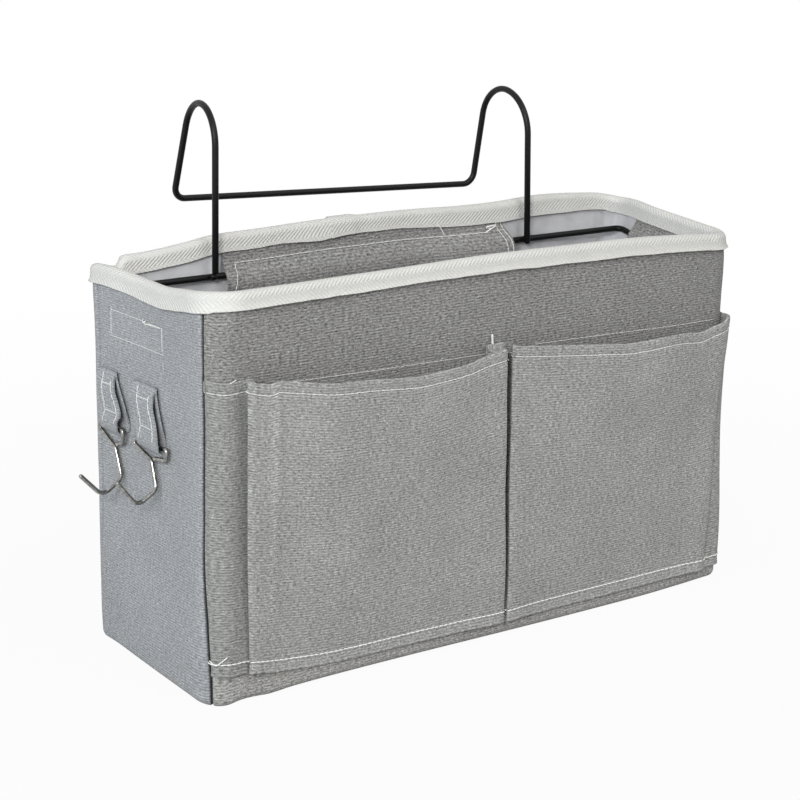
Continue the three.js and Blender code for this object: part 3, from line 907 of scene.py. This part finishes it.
RIGHT_POCKET = (
    ((151.5, 0.75), (150.4, 0.8, 140.2)), ((161.5, 0.75), (157, 1.2, 140.2)),
    ((163.6, 1.2), (159.4, 3, 140.2)), ((162.4, 1.8), (158.2, 5.6, 140.1)),
    ((160.6, 2.3), (156.4, 7.6, 140.1)), ((162.2, 2.7), (157.2, 8.7, 139.9)),
    ((167, 2.4), (161.5, 9, 139.3)), ((176, 1.5), (170, 9.1, 138.2)), ((196, 1), (195.8, 9.6, 135.3)),
    ((212, 1), (212.7, 10.4, 133.7)), ((224, 1), (224, 10.8, 132.5)), ((238, 1), (238, 11, 132.2)),
    ((250, 1), (249.6, 10.8, 132.6)), ((262, 1), (262.4, 9.6, 132.1)), ((275, 1.6), (275.4, 8, 130.6)),
    ((283, 2.6), (283.8, 7.6, 132.1)),
    ((286.6, 2.8), (289.5, 7.2, 133)), ((288.4, 2.3), (292.6, 6.6, 133.6)),
    ((286.8, 1.8), (294.4, 6, 134.2)), ((281, 1.7), (296, 5.6, 134.6)),
    ((278.8, 1.2), (297.6, 5, 134.8)), ((281, 0.75), (299.4, 4.2, 134.8)),
    ((290, 0.75), (301.4, 3, 134.6)), ((298, 0.75), (303.6, 1.6, 134.4)),
    ((304, 0.75), (306, 0.8, 134.2)),
)


def pocket_rows():
    """Rows from the raw foot over the mouth and down the turned hem, with what they are moved by."""
    tall = POCKET_TALL
    ups = spaced(0, FOOT_STITCH + 2, 0.9) + spaced(FOOT_STITCH + 4, tall - HEM - 3, 2.1)
    ups += spaced(tall - HEM - 1.5, tall - 0.6, 0.75)
    rows = [(up / tall, 0.0, 0.0, up) for up in ups]
    for inset, up, more in ((0.1, 0.2, 0), (0.55, 0.42, 0.5), (1.0, 0.2, 1)):
        rows.append(((tall - 0.3) / tall, inset, up, tall + more))
    for down in spaced(1.2, HEM + 1, 1.4):
        rows.append(((tall - down) / tall, 1.1, 0.0, tall + down))
    return rows


class Pocket:
    """A pleated pocket cloth, read by how far along its plan line and how far up it is."""

    def __init__(self, name, plan, cut_from):
        self.name = name
        self.cut_from = cut_from
        self.foot = [Vector((*foot, 0)) for foot, _ in plan]
        self.mouth = [Vector(mouth) for _, mouth in plan]

    def plan(self, along, rise):
        """Place, standoff and level at a rise of 0 at the raw foot to 1 at the mouth's edge."""
        foot = on_line(self.foot, along)
        mouth = on_line(self.mouth, along)
        bottom = follow(POCKET_FOOT, foot.x)
        level = mix(bottom, mouth.z, rise)
        above = max(level - bottom - FOOT_STITCH, 0) / (mouth.z - bottom - FOOT_STITCH)
        opened = above * (1.6 - 0.6 * above)
        place = mix(foot.x, mouth.x, above)
        if self.foot[0].x < WIDEST_RADIUS:
            edge = mix(0.9, 2.5, smooth(20, 60, level))
            place = mix(edge - front_seam(level), place, smooth(0, 2, along))
        off = mix(foot.y, mouth.y, opened)
        spot = place, level, off
        waves = 0.5 * ripple(spot, 34, 6) + 0.2 * ripple(spot, 12, 8)
        off += waves * min(opened * 2, 1) * smooth(1.5, 4, off)
        hem = smooth(mouth.z - HEM - 3, mouth.z - HEM, level)
        off = max(off, mix(off, 1.8, hem))
        return place, off, level

    def spot(self, along, rise, inset=0.0, up=0.0):
        """A point of the cloth, moved in through it and up."""
        place, off, level = self.plan(along, rise)
        if inset:
            step = 0.04
            ahead = self.plan(min(along + step, len(self.foot) - 1), rise)
            behind = self.plan(max(along - step, 0), rise)
            run = Vector((ahead[0] - behind[0], ahead[1] - behind[1]))
            run.normalize()
            place += run.y * inset
            off -= run.x * inset
        return wall_point(place, level + up, -off)

    def columns(self):
        """Places along the plan line, with their distances from its start at mid height."""
        fine = [index / 40 for index in range(40 * (len(self.foot) - 1) + 1)]
        halfway = [Vector(self.plan(along, 0.6)[:2]) for along in fine]
        walked = walked_along(halfway)
        columns = []
        for target in spaced(0, walked[-1], POCKET_STEP):
            index = min(bisect.bisect_left(walked, target), len(fine) - 1)
            columns.append((fine[index], target))
        return columns

    def build(self, cloth):
        """The pocket as a sheet, pressed in at its stitches and frayed at its raw foot."""
        def put(column, row):
            along, cut_across = column
            rise, inset, up, cut = row
            height = rise * POCKET_TALL
            edge = bell(height, FOOT_STITCH, 0.8) * 0.25 + bell(height, POCKET_TALL - HEM, 0.8) * 0.28
            fray = 0.0
            if height < 3:
                edge -= 0.35 * (1 - height / 3) ** 2
                fray = 0.35 * ripple((cut_across, 0, 0), 2.2, 9) * (1 - height / 3)
            return self.spot(along, rise, inset + edge, up + fray), (self.cut_from + cut_across, cut)

        return sheet_of(self.name, self.columns(), pocket_rows(), put, cloth, offset=0.0)

    def seam(self, rise_of, lift):
        """A row of points and normals for stitches on the outside of the cloth."""
        row = []
        for along in spaced(0, len(self.foot) - 1, 0.06):
            foot = follow(POCKET_FOOT, on_line(self.foot, along).x)
            rise = rise_of(on_line(self.mouth, along).z - foot)
            outside = self.spot(along, rise, -lift)
            row.append((outside, (self.spot(along, rise, -lift - 1) - outside).normalized()))
        return row


POCKETS = (
    Pocket("left_pocket_cloth", LEFT_POCKET, 0),
    Pocket("right_pocket_cloth", RIGHT_POCKET, 200),
)


class CADDY_OT_pockets(bpy.types.Operator):
    """Adds the two pleated pockets with their turned hems"""

    bl_idname = "caddy.pockets"
    bl_label = "Pockets"

    def execute(self, context):
        sizes = sizes_in_mm()
        for pocket, node in zip(POCKETS, ("left_pocket", "right_pocket")):
            piece = pocket.build(sizes["cloth"])
            across = pocket.columns()[-1][1]
            finish_piece(piece, linen_weave("pockets"), nodes=[node])
        return {"FINISHED"}


# Sleeves round the support bar
BACK_SLEEVE_SECTION = (
    # level and depth, from the lower seam over the bar to the rim
    (142.5, 4.2), (146, 4.6), (150, 6.2), (155, 8.2), (158.5, 9), (161, 8.8), (163.5, 7.6),
    (165.3, 5.5), (167.3, 4.2), (168.5, 4), (172, 3.8), (176, 3.8),
)
SIDE_SLEEVE_SECTION = (
    (145.5, 4.2), (148.5, 4.6), (151, 6.6), (155, 8.8), (159, 9), (164, 8.3), (167, 6), (170, 3.9),
    (173.5, 3.8),
)
# Level of the back sleeve's upper seam, and how far its stitches lie from the middle of its cloth
BACK_SEAM = 167.3
SLEEVE_STITCH = 0.75


def sleeve_depth(section, place, level, flare):
    """Depth of a sleeve's middle layer."""
    low, high = section[0][0], section[-1][0]
    rise = smooth(low, low + 12, level) * (1 - smooth(high - 12, high - 6, level))
    return follow(section, level) + rise * (0.5 * ripple((place, level, 0), 22, 4.2) + flare)


def sleeve(name, section, first, last, cloth, flare):
    """A strip sewn to the lining above and below the bar, between two places on the perimeter."""
    def put(place, level):
        share = (place - first) / (last - first)
        depth = sleeve_depth(section, place, level, flare(share) if flare else 0)
        return wall_point(place, level, depth), (place, level)

    levels = spaced(section[0][0], section[-1][0], 1.3)
    return sheet_of(name, spaced(first, last, 1.8), levels, put, cloth, offset=0.0)


BACK_SLEEVE = (BACK_MIDDLE - 78, BACK_MIDDLE + 87)
RIGHT_SLEEVE = (RIGHT_MIDDLE - 20, RIGHT_MIDDLE + 23)
LEFT_SLEEVE = (LEFT_MIDDLE - 35.5, LEFT_MIDDLE + 12)


def back_flare(share):
    """The back sleeve gapes towards its right end."""
    return 5.5 * (1 - smooth(0, 0.42, share))


class CADDY_OT_sleeves(bpy.types.Operator):
    """Adds the linen sleeves that hold the support bar"""

    bl_idname = "caddy.sleeves"
    bl_label = "Sleeves"

    def execute(self, context):
        sizes = sizes_in_mm()
        for side, section, ends, flare in (
            ("back", BACK_SLEEVE_SECTION, BACK_SLEEVE, back_flare),
            ("right", SIDE_SLEEVE_SECTION, RIGHT_SLEEVE, None),
            ("left", SIDE_SLEEVE_SECTION, LEFT_SLEEVE, None),
        ):
            piece = sleeve(f"{side}_sleeve_cloth", section, *ends, sizes["cloth"], flare)
            finish_piece(piece, linen_weave("front"), nodes=[f"{side}_sleeve"])
        return {"FINISHED"}


# Hanger
BAR_CORNERS = (
    # the bar's ends and bends with their radii, a little askew in its sleeves
    ((-144.65, -9.85, 157.6), 0), ((-145.6, 42.6, 165.5), 6.5), ((96, 42.2, 162.7), 30),
    ((150.2, 37.2, 163.2), 3.5), ((144.65, -9.85, 158.5), 0),
)
# How far behind the uprights the bar lies
BAR_SEAT = 3.3
ARCHES = (
    # left and right: an upright's foot and the bends over the rail, with their radii
    (((-93.9, 38.9, 166.8), 0), ((-93.9, 38.9, 242.6), 17.4), ((-88.6, 69.1, 242.8), 15.5),
     ((-91.6, 79.4, 194.9), 6)),
    (((90, 38.9, 161), 0), ((87.5, 38.9, 232.4), 20), ((88.8, 72.8, 240.1), 16),
     ((85.2, 78.6, 185.7), 6)),
)


def weld_bead(foot):
    """A lumpy bead of weld where an upright meets the bar."""
    only()
    start, end = [Vector(place) for place, _ in BAR_CORNERS[1:3]]
    on_bar = start.lerp(end, (foot.x - start.x) / (end.x - start.x))
    middle = Vector((foot.x, foot.y + BAR_SEAT / 2, on_bar.z + 0.5))
    bpy.ops.mesh.primitive_uv_sphere_add(segments=16, ring_count=10, radius=1)
    bead = bpy.context.object
    for vertex in bead.data.vertices:
        lump = 1 + 0.18 * ripple(vertex.co, 0.9, foot.x)
        vertex.co = (middle + vertex.co * 1.8 * lump) * MM
    bpy.ops.object.shade_smooth()
    return bead


class CADDY_OT_hanger(bpy.types.Operator):
    """Adds the support bar and the wire arches that hook over a bed rail"""

    bl_idname = "caddy.hanger"
    bl_label = "Hanger"

    def execute(self, context):
        sizes = sizes_in_mm()
        bar = wire("support_rod", rounded(BAR_CORNERS), sizes["rod"])
        finish_piece(bar, black_coat(), nodes=["support_bar"])
        left, right = ARCHES
        arches = wire("hanger_arches", rounded(left + right[::-1], 14), sizes["rod"])
        beads = [weld_bead(Vector(arch[0][0])) for arch in ARCHES]
        piece = join("hanger_arches", [arches] + beads)
        finish_piece(piece, black_coat(), nodes=["hanger_wire"])
        return {"FINISHED"}


# Hook straps and hooks, with the level and X of the hooks' eyes
HOOK_LEVEL = 106
HOOK_X = -152.4

# The straps' top, half width, loop round the eye and seat on the wall
STRAP_TOP = 131.5
STRAP_HALF = 9.8
STRAP_LOOP = 2.4
STRAP_SEAT = 0.68

# The level below which the inner layer's edges run straight, how much wider it is, and the rows' step
STRAP_CORNER = 113
STRAP_INNER = 1.08
STRAP_STEP = 1.6
STRAP_STANDOFF = (
    # level and standoff of the strap's outer layer, which gapes between the eye and the sewn top
    (104, 4.6), (109, 4.9), (113, 4.6), (118, 4.3), (123, 4.3), (127, 3.4), (131.5, 1.8),
)
STRAP_CUTS = {
    # half width, shifts along the wall at the eye and the top, rear and front edges' shares by level
    "rear": (8.8, 1.5, -0.9, ((106, 1), (129.5, 0.92)),
             ((106, 0.42), (109.5, 0.44), (113, 0.8), (129.5, 0.38))),
    "front": (9.8, 0.4, -3.8, ((106, 1), (118, 1.05), (129.5, 1.25)), ((106, 1), (129.5, 0.68))),
}
STRAP_STITCHES = (
    # runs of distance across the strap and level
    ((-5.4, 130.4), (-4.8, 114)), ((5, 127.6), (6.6, 114.2)), ((-5.2, 126), (5.2, 126.2)),
    ((-4.8, 113.8), (6.6, 113.8)), ((-4.8, 113.4), (-7.6, 107.6)), ((6.6, 113.6), (5.8, 108.4)),
)
HOOK_CORNERS = {
    # along the eye, out from the wall, level from the eye and bend radius, from short end to tip
    "rear": ((0.6, 0.2, -7.8, 0), (6.2, 0.4, -5.8, 1.6), (6.9, 0.4, 0.3, 1.6), (-14.2, 0, -0.6, 1.7),
             (-14.6, 0, -4, 1.4), (-0.8, 0, -9.8, 3), (5.4, 0.4, -22.4, 4.5), (6, 10.8, -28.8, 5),
             (6.2, 22.2, -17.2, 0)),
    "front": ((2.2, 0.2, -6, 0), (11.9, 0, -4.6, 1.8), (13.2, 0, 1.3, 1.4), (10.5, 0, 0.3, 1.5),
              (-14.4, 0, -0.6, 1.7), (-14.9, 0, -3.6, 1.4), (0, 0, -7.4, 3), (5, 0.6, -19.5, 4.5),
              (5.4, 10.6, -25.2, 4.8), (5.6, 21, -12.4, 0)),
}


def hook_middle(end):
    """Where a hook's eye has its middle, along Y."""
    low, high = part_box(f"{end}_hook_tab")
    return (low.y + high.y) / 2 / MM


def strap_place(end, distance, level, spread=1.0):
    """Where a strap's cloth lies on the perimeter, with its edges cut clear of the hook's swing."""
    half, low, high, *edges = STRAP_CUTS[end]
    share = follow(edges[distance > 0], level)
    middle = LEFT_MIDDLE - hook_middle(end) + mix(low, high, smooth(HOOK_LEVEL, STRAP_TOP - 2, level))
    return middle + distance / STRAP_HALF * half * spread * share


def strap_outside(end, distance, level, lift=0.0):
    """A point of the strap's outer layer."""
    place = strap_place(end, distance, level)
    off = follow(STRAP_STANDOFF, level) * (1 + 0.05 * distance / STRAP_HALF)
    off += 0.25 * ripple((distance, level, 5), 9, 2)
    return wall_point(place, level, -off - lift)


def hook_strap(end, cloth):
    """A strap folded round a hook's eye and sewn at its top, with its outer layer standing off."""
    middle = -HOOK_X - HALF_WIDTH
    rows = [("wall", level) for level in spaced(STRAP_TOP, HOOK_LEVEL + 1, STRAP_STEP)]
    rows += [("loop", turn) for turn in spaced(-math.pi / 2, math.pi / 2, 0.4)]
    rows += [("outer", level) for level in spaced(HOOK_LEVEL + 1, STRAP_TOP, STRAP_STEP)]
    cuts = {row: STRAP_STEP * index for index, row in enumerate(rows)}

    def put(distance, row):
        layer, value = row
        cut = distance, cuts[row]
        if layer == "outer":
            return strap_outside(end, distance, value), cut
        if layer == "wall":
            place = strap_place(end, distance, max(value, STRAP_CORNER), STRAP_INNER)
            lifted = 1.3 * smooth(3, 10, distance) * smooth(HOOK_LEVEL + 2, HOOK_LEVEL + 9, value)
            return wall_point(place, value, -STRAP_SEAT - lifted), cut
        loop = STRAP_LOOP + 0.3 * distance / STRAP_HALF
        off = mix(middle + loop * math.sin(value), STRAP_SEAT, smooth(0, -math.pi / 2, value) ** 3)
        spread = mix(STRAP_INNER, 1.0, smooth(-math.pi / 2, math.pi / 2, value))
        level = mix(STRAP_CORNER, HOOK_LEVEL, smooth(-math.pi / 2, -0.3, value))
        place = strap_place(end, distance, level, spread)
        return wall_point(place, HOOK_LEVEL - loop * math.cos(value), -off), cut

    across = spaced(-STRAP_HALF, STRAP_HALF, 1.0)
    return sheet_of(f"{end}_strap", across, rows[::-1], put, cloth, offset=0.0)


def hook_wire(end):
    """The bent line of a hook: an eye through the strap, a stem that leans and a crook."""
    middle = hook_middle(end)
    return rounded([((HOOK_X - out, middle - along, HOOK_LEVEL + level), bend)
                    for along, out, level, bend in HOOK_CORNERS[end]])


class CADDY_OT_hook_straps(bpy.types.Operator):
    """Adds the folded straps that hold the hooks, with their stitches"""

    bl_idname = "caddy.hook_straps"
    bl_label = "Hook Straps"

    def execute(self, context):
        sizes = sizes_in_mm()
        rows = []
        for end in HOOK_CORNERS:
            piece = hook_strap(end, sizes["cloth"])
            finish_piece(piece, linen_weave("walls"), nodes=[f"{end}_hook_tab"])
            for first, last in STRAP_STITCHES:
                row = []
                for share in spaced(0, 1, 0.1):
                    spot = between(first, last, share)
                    point = strap_outside(end, *spot, 0.4)
                    row.append((point, (strap_outside(end, *spot, 1.4) - point).normalized()))
                rows.append(row)
        stitches = stitch_row("strap_stitches", rows, sizes["stitch"], sizes["thread"], 5)
        finish_piece(stitches, spun_thread())
        return {"FINISHED"}


class CADDY_OT_hooks(bpy.types.Operator):
    """Adds the two plated wire hooks, each on its own swinging body"""

    bl_idname = "caddy.hooks"
    bl_label = "Hooks"

    def execute(self, context):
        sizes = sizes_in_mm()
        for end in HOOK_CORNERS:
            piece = wire(f"{end}_wire_hook", hook_wire(end), sizes["hook"])
            finish_piece(piece, nickel_plate(), f"{end}_hook", [f"{end}_hook"])
        return {"FINISHED"}


# Stitching
WALL_LINES = (
    # runs of place and level on the front wall, behind the pockets' mouths
    ((37, 138.5), (60, 137.8), (87, 137.1), (115, 136.7), (147, 136.1)),
    ((176, 136.8), (220, 135.7), (266, 134.1), (291, 133.9)),
)


def on_runs(path, step, put):
    """What put gives at steps along straight runs of (place, level)."""
    row = []
    for start, end in zip(path, path[1:]):
        for share in spaced(0, 1, step / math.dist(start, end)):
            row.append(put(*between(start, end, share)))
    return row


def on_wall(path):
    """Points and outward normals along runs on the outer cloth."""
    return on_runs(path, 1.2, lambda *spot: (wall_point(*spot, 0), outward_at(*spot)))


SLEEVE_OUTLINE = ((711, 160), (750.8, 160), (751.2, 147.2), (710.6, 147.2), (711, 160))
BACK_SLEEVE_STITCHES = (
    # runs of place and level on the back sleeve
    ((BACK_MIDDLE - 67, BACK_SEAM), (BACK_MIDDLE + 81, BACK_SEAM)),
    ((BACK_MIDDLE + 81, BACK_SEAM), (BACK_MIDDLE + 84.6, 152)),
    ((BACK_SLEEVE[0] + 1.4, 175), (BACK_SLEEVE[0] + 1.4, 148)),
    ((BACK_SLEEVE[0] + 4.6, 174), (BACK_SLEEVE[0] + 4.6, 148)),
)


def on_back_sleeve(path):
    """Points and normals along a run on the side of the back sleeve that faces the front."""
    first, last = BACK_SLEEVE

    def put(place, level):
        flare = back_flare((place - first) / (last - first))
        depth = sleeve_depth(BACK_SLEEVE_SECTION, place, level, flare)
        return wall_point(place, level, depth + SLEEVE_STITCH), -outward_at(place, level)

    return on_runs(path, 1.5, put)


class CADDY_OT_stitching(bpy.types.Operator):
    """Adds the rows of stitches on the pockets, the walls and the back sleeve"""

    bl_idname = "caddy.stitching"
    bl_label = "Stitching"

    def execute(self, context):
        sizes = sizes_in_mm()
        pitch, thread = sizes["stitch"], sizes["thread"]
        hems = [pocket.seam(lambda tall: 1 - HEM / tall, 0.25) for pocket in POCKETS]
        feet = [pocket.seam(lambda tall: FOOT_STITCH / tall, 0.3) for pocket in POCKETS]
        walls = [on_wall(path) for path in (*WALL_LINES, SLEEVE_OUTLINE)]
        backs = [on_back_sleeve(path) for path in BACK_SLEEVE_STITCHES]
        for name, rows, thickness, seed in (
            ("hem_stitches", hems, thread, 2), ("foot_stitches", feet, 1.75 * thread, 4),
            ("wall_stitches", walls, 0.68 * thread, 3), ("sleeve_stitches", backs, thread, 6),
        ):
            finish_piece(stitch_row(name, rows, pitch, thickness, seed), spun_thread())
        return {"FINISHED"}


# Loose ends of thread: share of the thread's thickness, then place, level and standoff of each point
LOOSE_THREADS = (
    (2.6, ((149.6, 139.4, 1.2), (149.2, 142.2, 1.5), (148.6, 145.4, 1.9))),
    (1.3, ((-0.2, 20.2, 2.5), (1.6, 18.6, 3), (3, 19.9, 3.3), (4.6, 21.7, 3.4))),
    (0.8, ((6.4, 142.6, 2.2), (7.4, 143.5, 2.7), (8.6, 144.2, 2.8))),
    (1.3, ((735.4, 161.4, 0.6), (736.6, 160, 1.2), (738.2, 161.2, 1), (737.4, 159.4, 0.9),
           (742, 159.9, 0.6), (750, 160.2, 0.5))),
    (1.9, ((BACK_MIDDLE - 70, 168.4, -5.6), (BACK_MIDDLE - 66, 169.6, -6.8),
           (BACK_MIDDLE - 72, 169.8, -6.4), (BACK_MIDDLE - 66, 167.4, -6.8))),
    (1, ((BACK_MIDDLE - 36, 173.2, -5), (BACK_MIDDLE - 38.6, 170.4, -5.8),
         (BACK_MIDDLE - 39.8, 168, -6))),
)


class CADDY_OT_threads(bpy.types.Operator):
    """Adds the loose ends of sewing thread"""

    bl_idname = "caddy.threads"
    bl_label = "Loose Threads"

    def execute(self, context):
        sizes = sizes_in_mm()
        pieces = []
        for share, ends in LOOSE_THREADS:
            points = [wall_point(place, level, -off) for place, level, off in ends]
            pieces.append(wire("loose_thread", smooth_line(points), share * sizes["thread"], 2))
        finish_piece(join("loose_threads", pieces), spun_thread())
        return {"FINISHED"}


# Stage
CAMERA_AT = Vector((-653.7, -859.8, 408.7))
CAMERA_AZIMUTH = math.radians(-36.56)
CAMERA_ELEVATION = math.radians(15.85)
CAMERA_ROLL = math.radians(1.25)
CAMERA_LENS = 106.4
FLOOR_LEVEL = -2.8 * MM
FLOOR_COLOUR = "B8B8B8"
SKY = {"Color": (0.99, 0.995, 1.0, 1), "Strength": 0.38}
WHITE = {"Color": (1, 1, 1, 1), "Strength": 1.0}
# How white the floor is to the camera, by distance in metres from the caddy's middle
FLOOR_FADE = {"From Min": 0.2, "From Max": 0.7, "To Min": 0.95, "To Max": 1.0}
LAMPS = (
    # name, place, size, power and colour
    ("left_softbox", (-1.6, -0.45, 0.8), 0.9, 9.6, (0.86, 0.95, 1.0)),
    ("key_lamp", (-1.75, -1.6, 1.2), 0.6, 30.5, (1.0, 0.99, 0.97)),
    ("top_softbox", (0.4, -1.2, 1.7), 1.0, 11, (1.0, 1.0, 0.99)),
)


def add_camera():
    """The camera at the photograph's place, turned by its azimuth, elevation and roll."""
    bpy.ops.object.camera_add()
    camera = bpy.context.object
    camera.name = "photo_camera"
    camera.matrix_world = (
        Matrix.Translation(CAMERA_AT * MM)
        @ Matrix.Rotation(CAMERA_AZIMUTH, 4, "Z")
        @ Matrix.Rotation(math.pi / 2 - CAMERA_ELEVATION, 4, "X")
        @ Matrix.Rotation(CAMERA_ROLL, 4, "Z")
    )
    camera.data.lens = CAMERA_LENS
    camera.data.sensor_width = 36
    camera.data.clip_end = 50
    bpy.context.scene.camera = camera


def add_lamp(name, place, size, power, colour):
    """A soft lamp that looks at the caddy's middle."""
    bpy.ops.object.light_add(type="AREA", location=place)
    lamp = bpy.context.object
    lamp.name = name
    lamp.data.shape = "DISK"
    lamp.data.size = size
    lamp.data.energy = power
    lamp.data.color = colour
    aim = Vector((0, 0, 0.1)) - Vector(place)
    lamp.rotation_euler = aim.to_track_quat("-Z", "Y").to_euler()


def white_to_camera(tree, output, shader, glow, whiteness=1.0):
    """Shows white instead of a shader to the camera, straight, in metal or through glass."""
    path = add_node(tree, "ShaderNodeLightPath").outputs
    seen = path["Is Camera Ray"]
    for kind in ("Is Glossy Ray", "Is Transmission Ray"):
        seen = add_node(tree, "ShaderNodeMath", {0: seen, 1: path[kind]}, operation="MAXIMUM")
    share = add_node(tree, "ShaderNodeMath", {0: seen, 1: whiteness}, operation="MULTIPLY")
    white = add_node(tree, glow, WHITE)
    pick = add_node(tree, "ShaderNodeMixShader", {0: share, 1: shader, 2: white})
    tree.links.new(pick.outputs[0], tree.nodes[output].inputs["Surface"])


def add_floor():
    """A round floor that is white to the camera and turns grey only near the caddy."""
    only()
    bpy.ops.mesh.primitive_circle_add(vertices=96, radius=9, fill_type="NGON",
                                      location=(0, 0, FLOOR_LEVEL))
    floor = bpy.context.object
    floor.name = "studio_floor"
    bpy.ops.object.transform_apply(location=True)
    material, tree, _, spot = new_material("white_studio_floor")
    shader = tree.nodes["Principled BSDF"]
    set_values(shader, Base_Color=linear(FLOOR_COLOUR), Roughness=0.9, Specular_IOR_Level=0.0)
    away = add_node(tree, "ShaderNodeVectorMath", {0: spot}, operation="LENGTH").outputs["Value"]
    whiteness = add_node(tree, "ShaderNodeMapRange", {"Value": away, **FLOOR_FADE})
    white_to_camera(tree, "Material Output", shader, "ShaderNodeEmission", whiteness)
    floor.data.materials.append(material)


def add_sky():
    """A soft sky that lights the caddy and is white to the camera."""
    world = bpy.data.worlds.new("white_studio")
    world.use_nodes = True
    bpy.context.scene.world = world
    tree = world.node_tree
    sky = tree.nodes["Background"]
    set_values(sky, **SKY)
    white_to_camera(tree, "World Output", sky, "ShaderNodeBackground")


class CADDY_OT_stage(bpy.types.Operator):
    """Adds the white floor, the studio light and the camera"""

    bl_idname = "caddy.stage"
    bl_label = "Stage"

    def execute(self, context):
        only()
        context.scene.view_settings.view_transform = "Standard"
        add_camera()
        add_floor()
        add_sky()
        for lamp in LAMPS:
            add_lamp(*lamp)
        return {"FINISHED"}


class CADDY_PT_parts(bpy.types.Panel):
    """Lists the caddy's pieces, sizes and colours"""

    bl_idname = "CADDY_PT_parts"
    bl_label = "Bedside Caddy"
    bl_space_type = "VIEW_3D"
    bl_region_type = "UI"
    bl_category = "Caddy"

    def draw(self, context):
        for operator in OPERATORS:
            self.layout.operator(operator.bl_idname)
        for group in (context.scene.caddy_sizes, context.scene.caddy_colours):
            for name in type(group).__annotations__:
                self.layout.prop(group, name)


OPERATORS = (
    CADDY_OT_stage,
    CADDY_OT_walls,
    CADDY_OT_stiffeners,
    CADDY_OT_lining,
    CADDY_OT_binding,
    CADDY_OT_pockets,
    CADDY_OT_sleeves,
    CADDY_OT_hanger,
    CADDY_OT_hook_straps,
    CADDY_OT_hooks,
    CADDY_OT_stitching,
    CADDY_OT_threads,
)
CLASSES = (CaddySizes, CaddyColours, *OPERATORS, CADDY_PT_parts)


def register():
    for item in CLASSES:
        bpy.utils.register_class(item)
    bpy.types.Scene.caddy_sizes = bpy.props.PointerProperty(type=CaddySizes)
    bpy.types.Scene.caddy_colours = bpy.props.PointerProperty(type=CaddyColours)


def unregister():
    del bpy.types.Scene.caddy_colours
    del bpy.types.Scene.caddy_sizes
    for item in reversed(CLASSES):
        bpy.utils.unregister_class(item)


def main():
    register()
    for operator in OPERATORS:
        getattr(bpy.ops.caddy, operator.bl_idname.split(".")[1])()


if __name__ == "__main__":
    main()
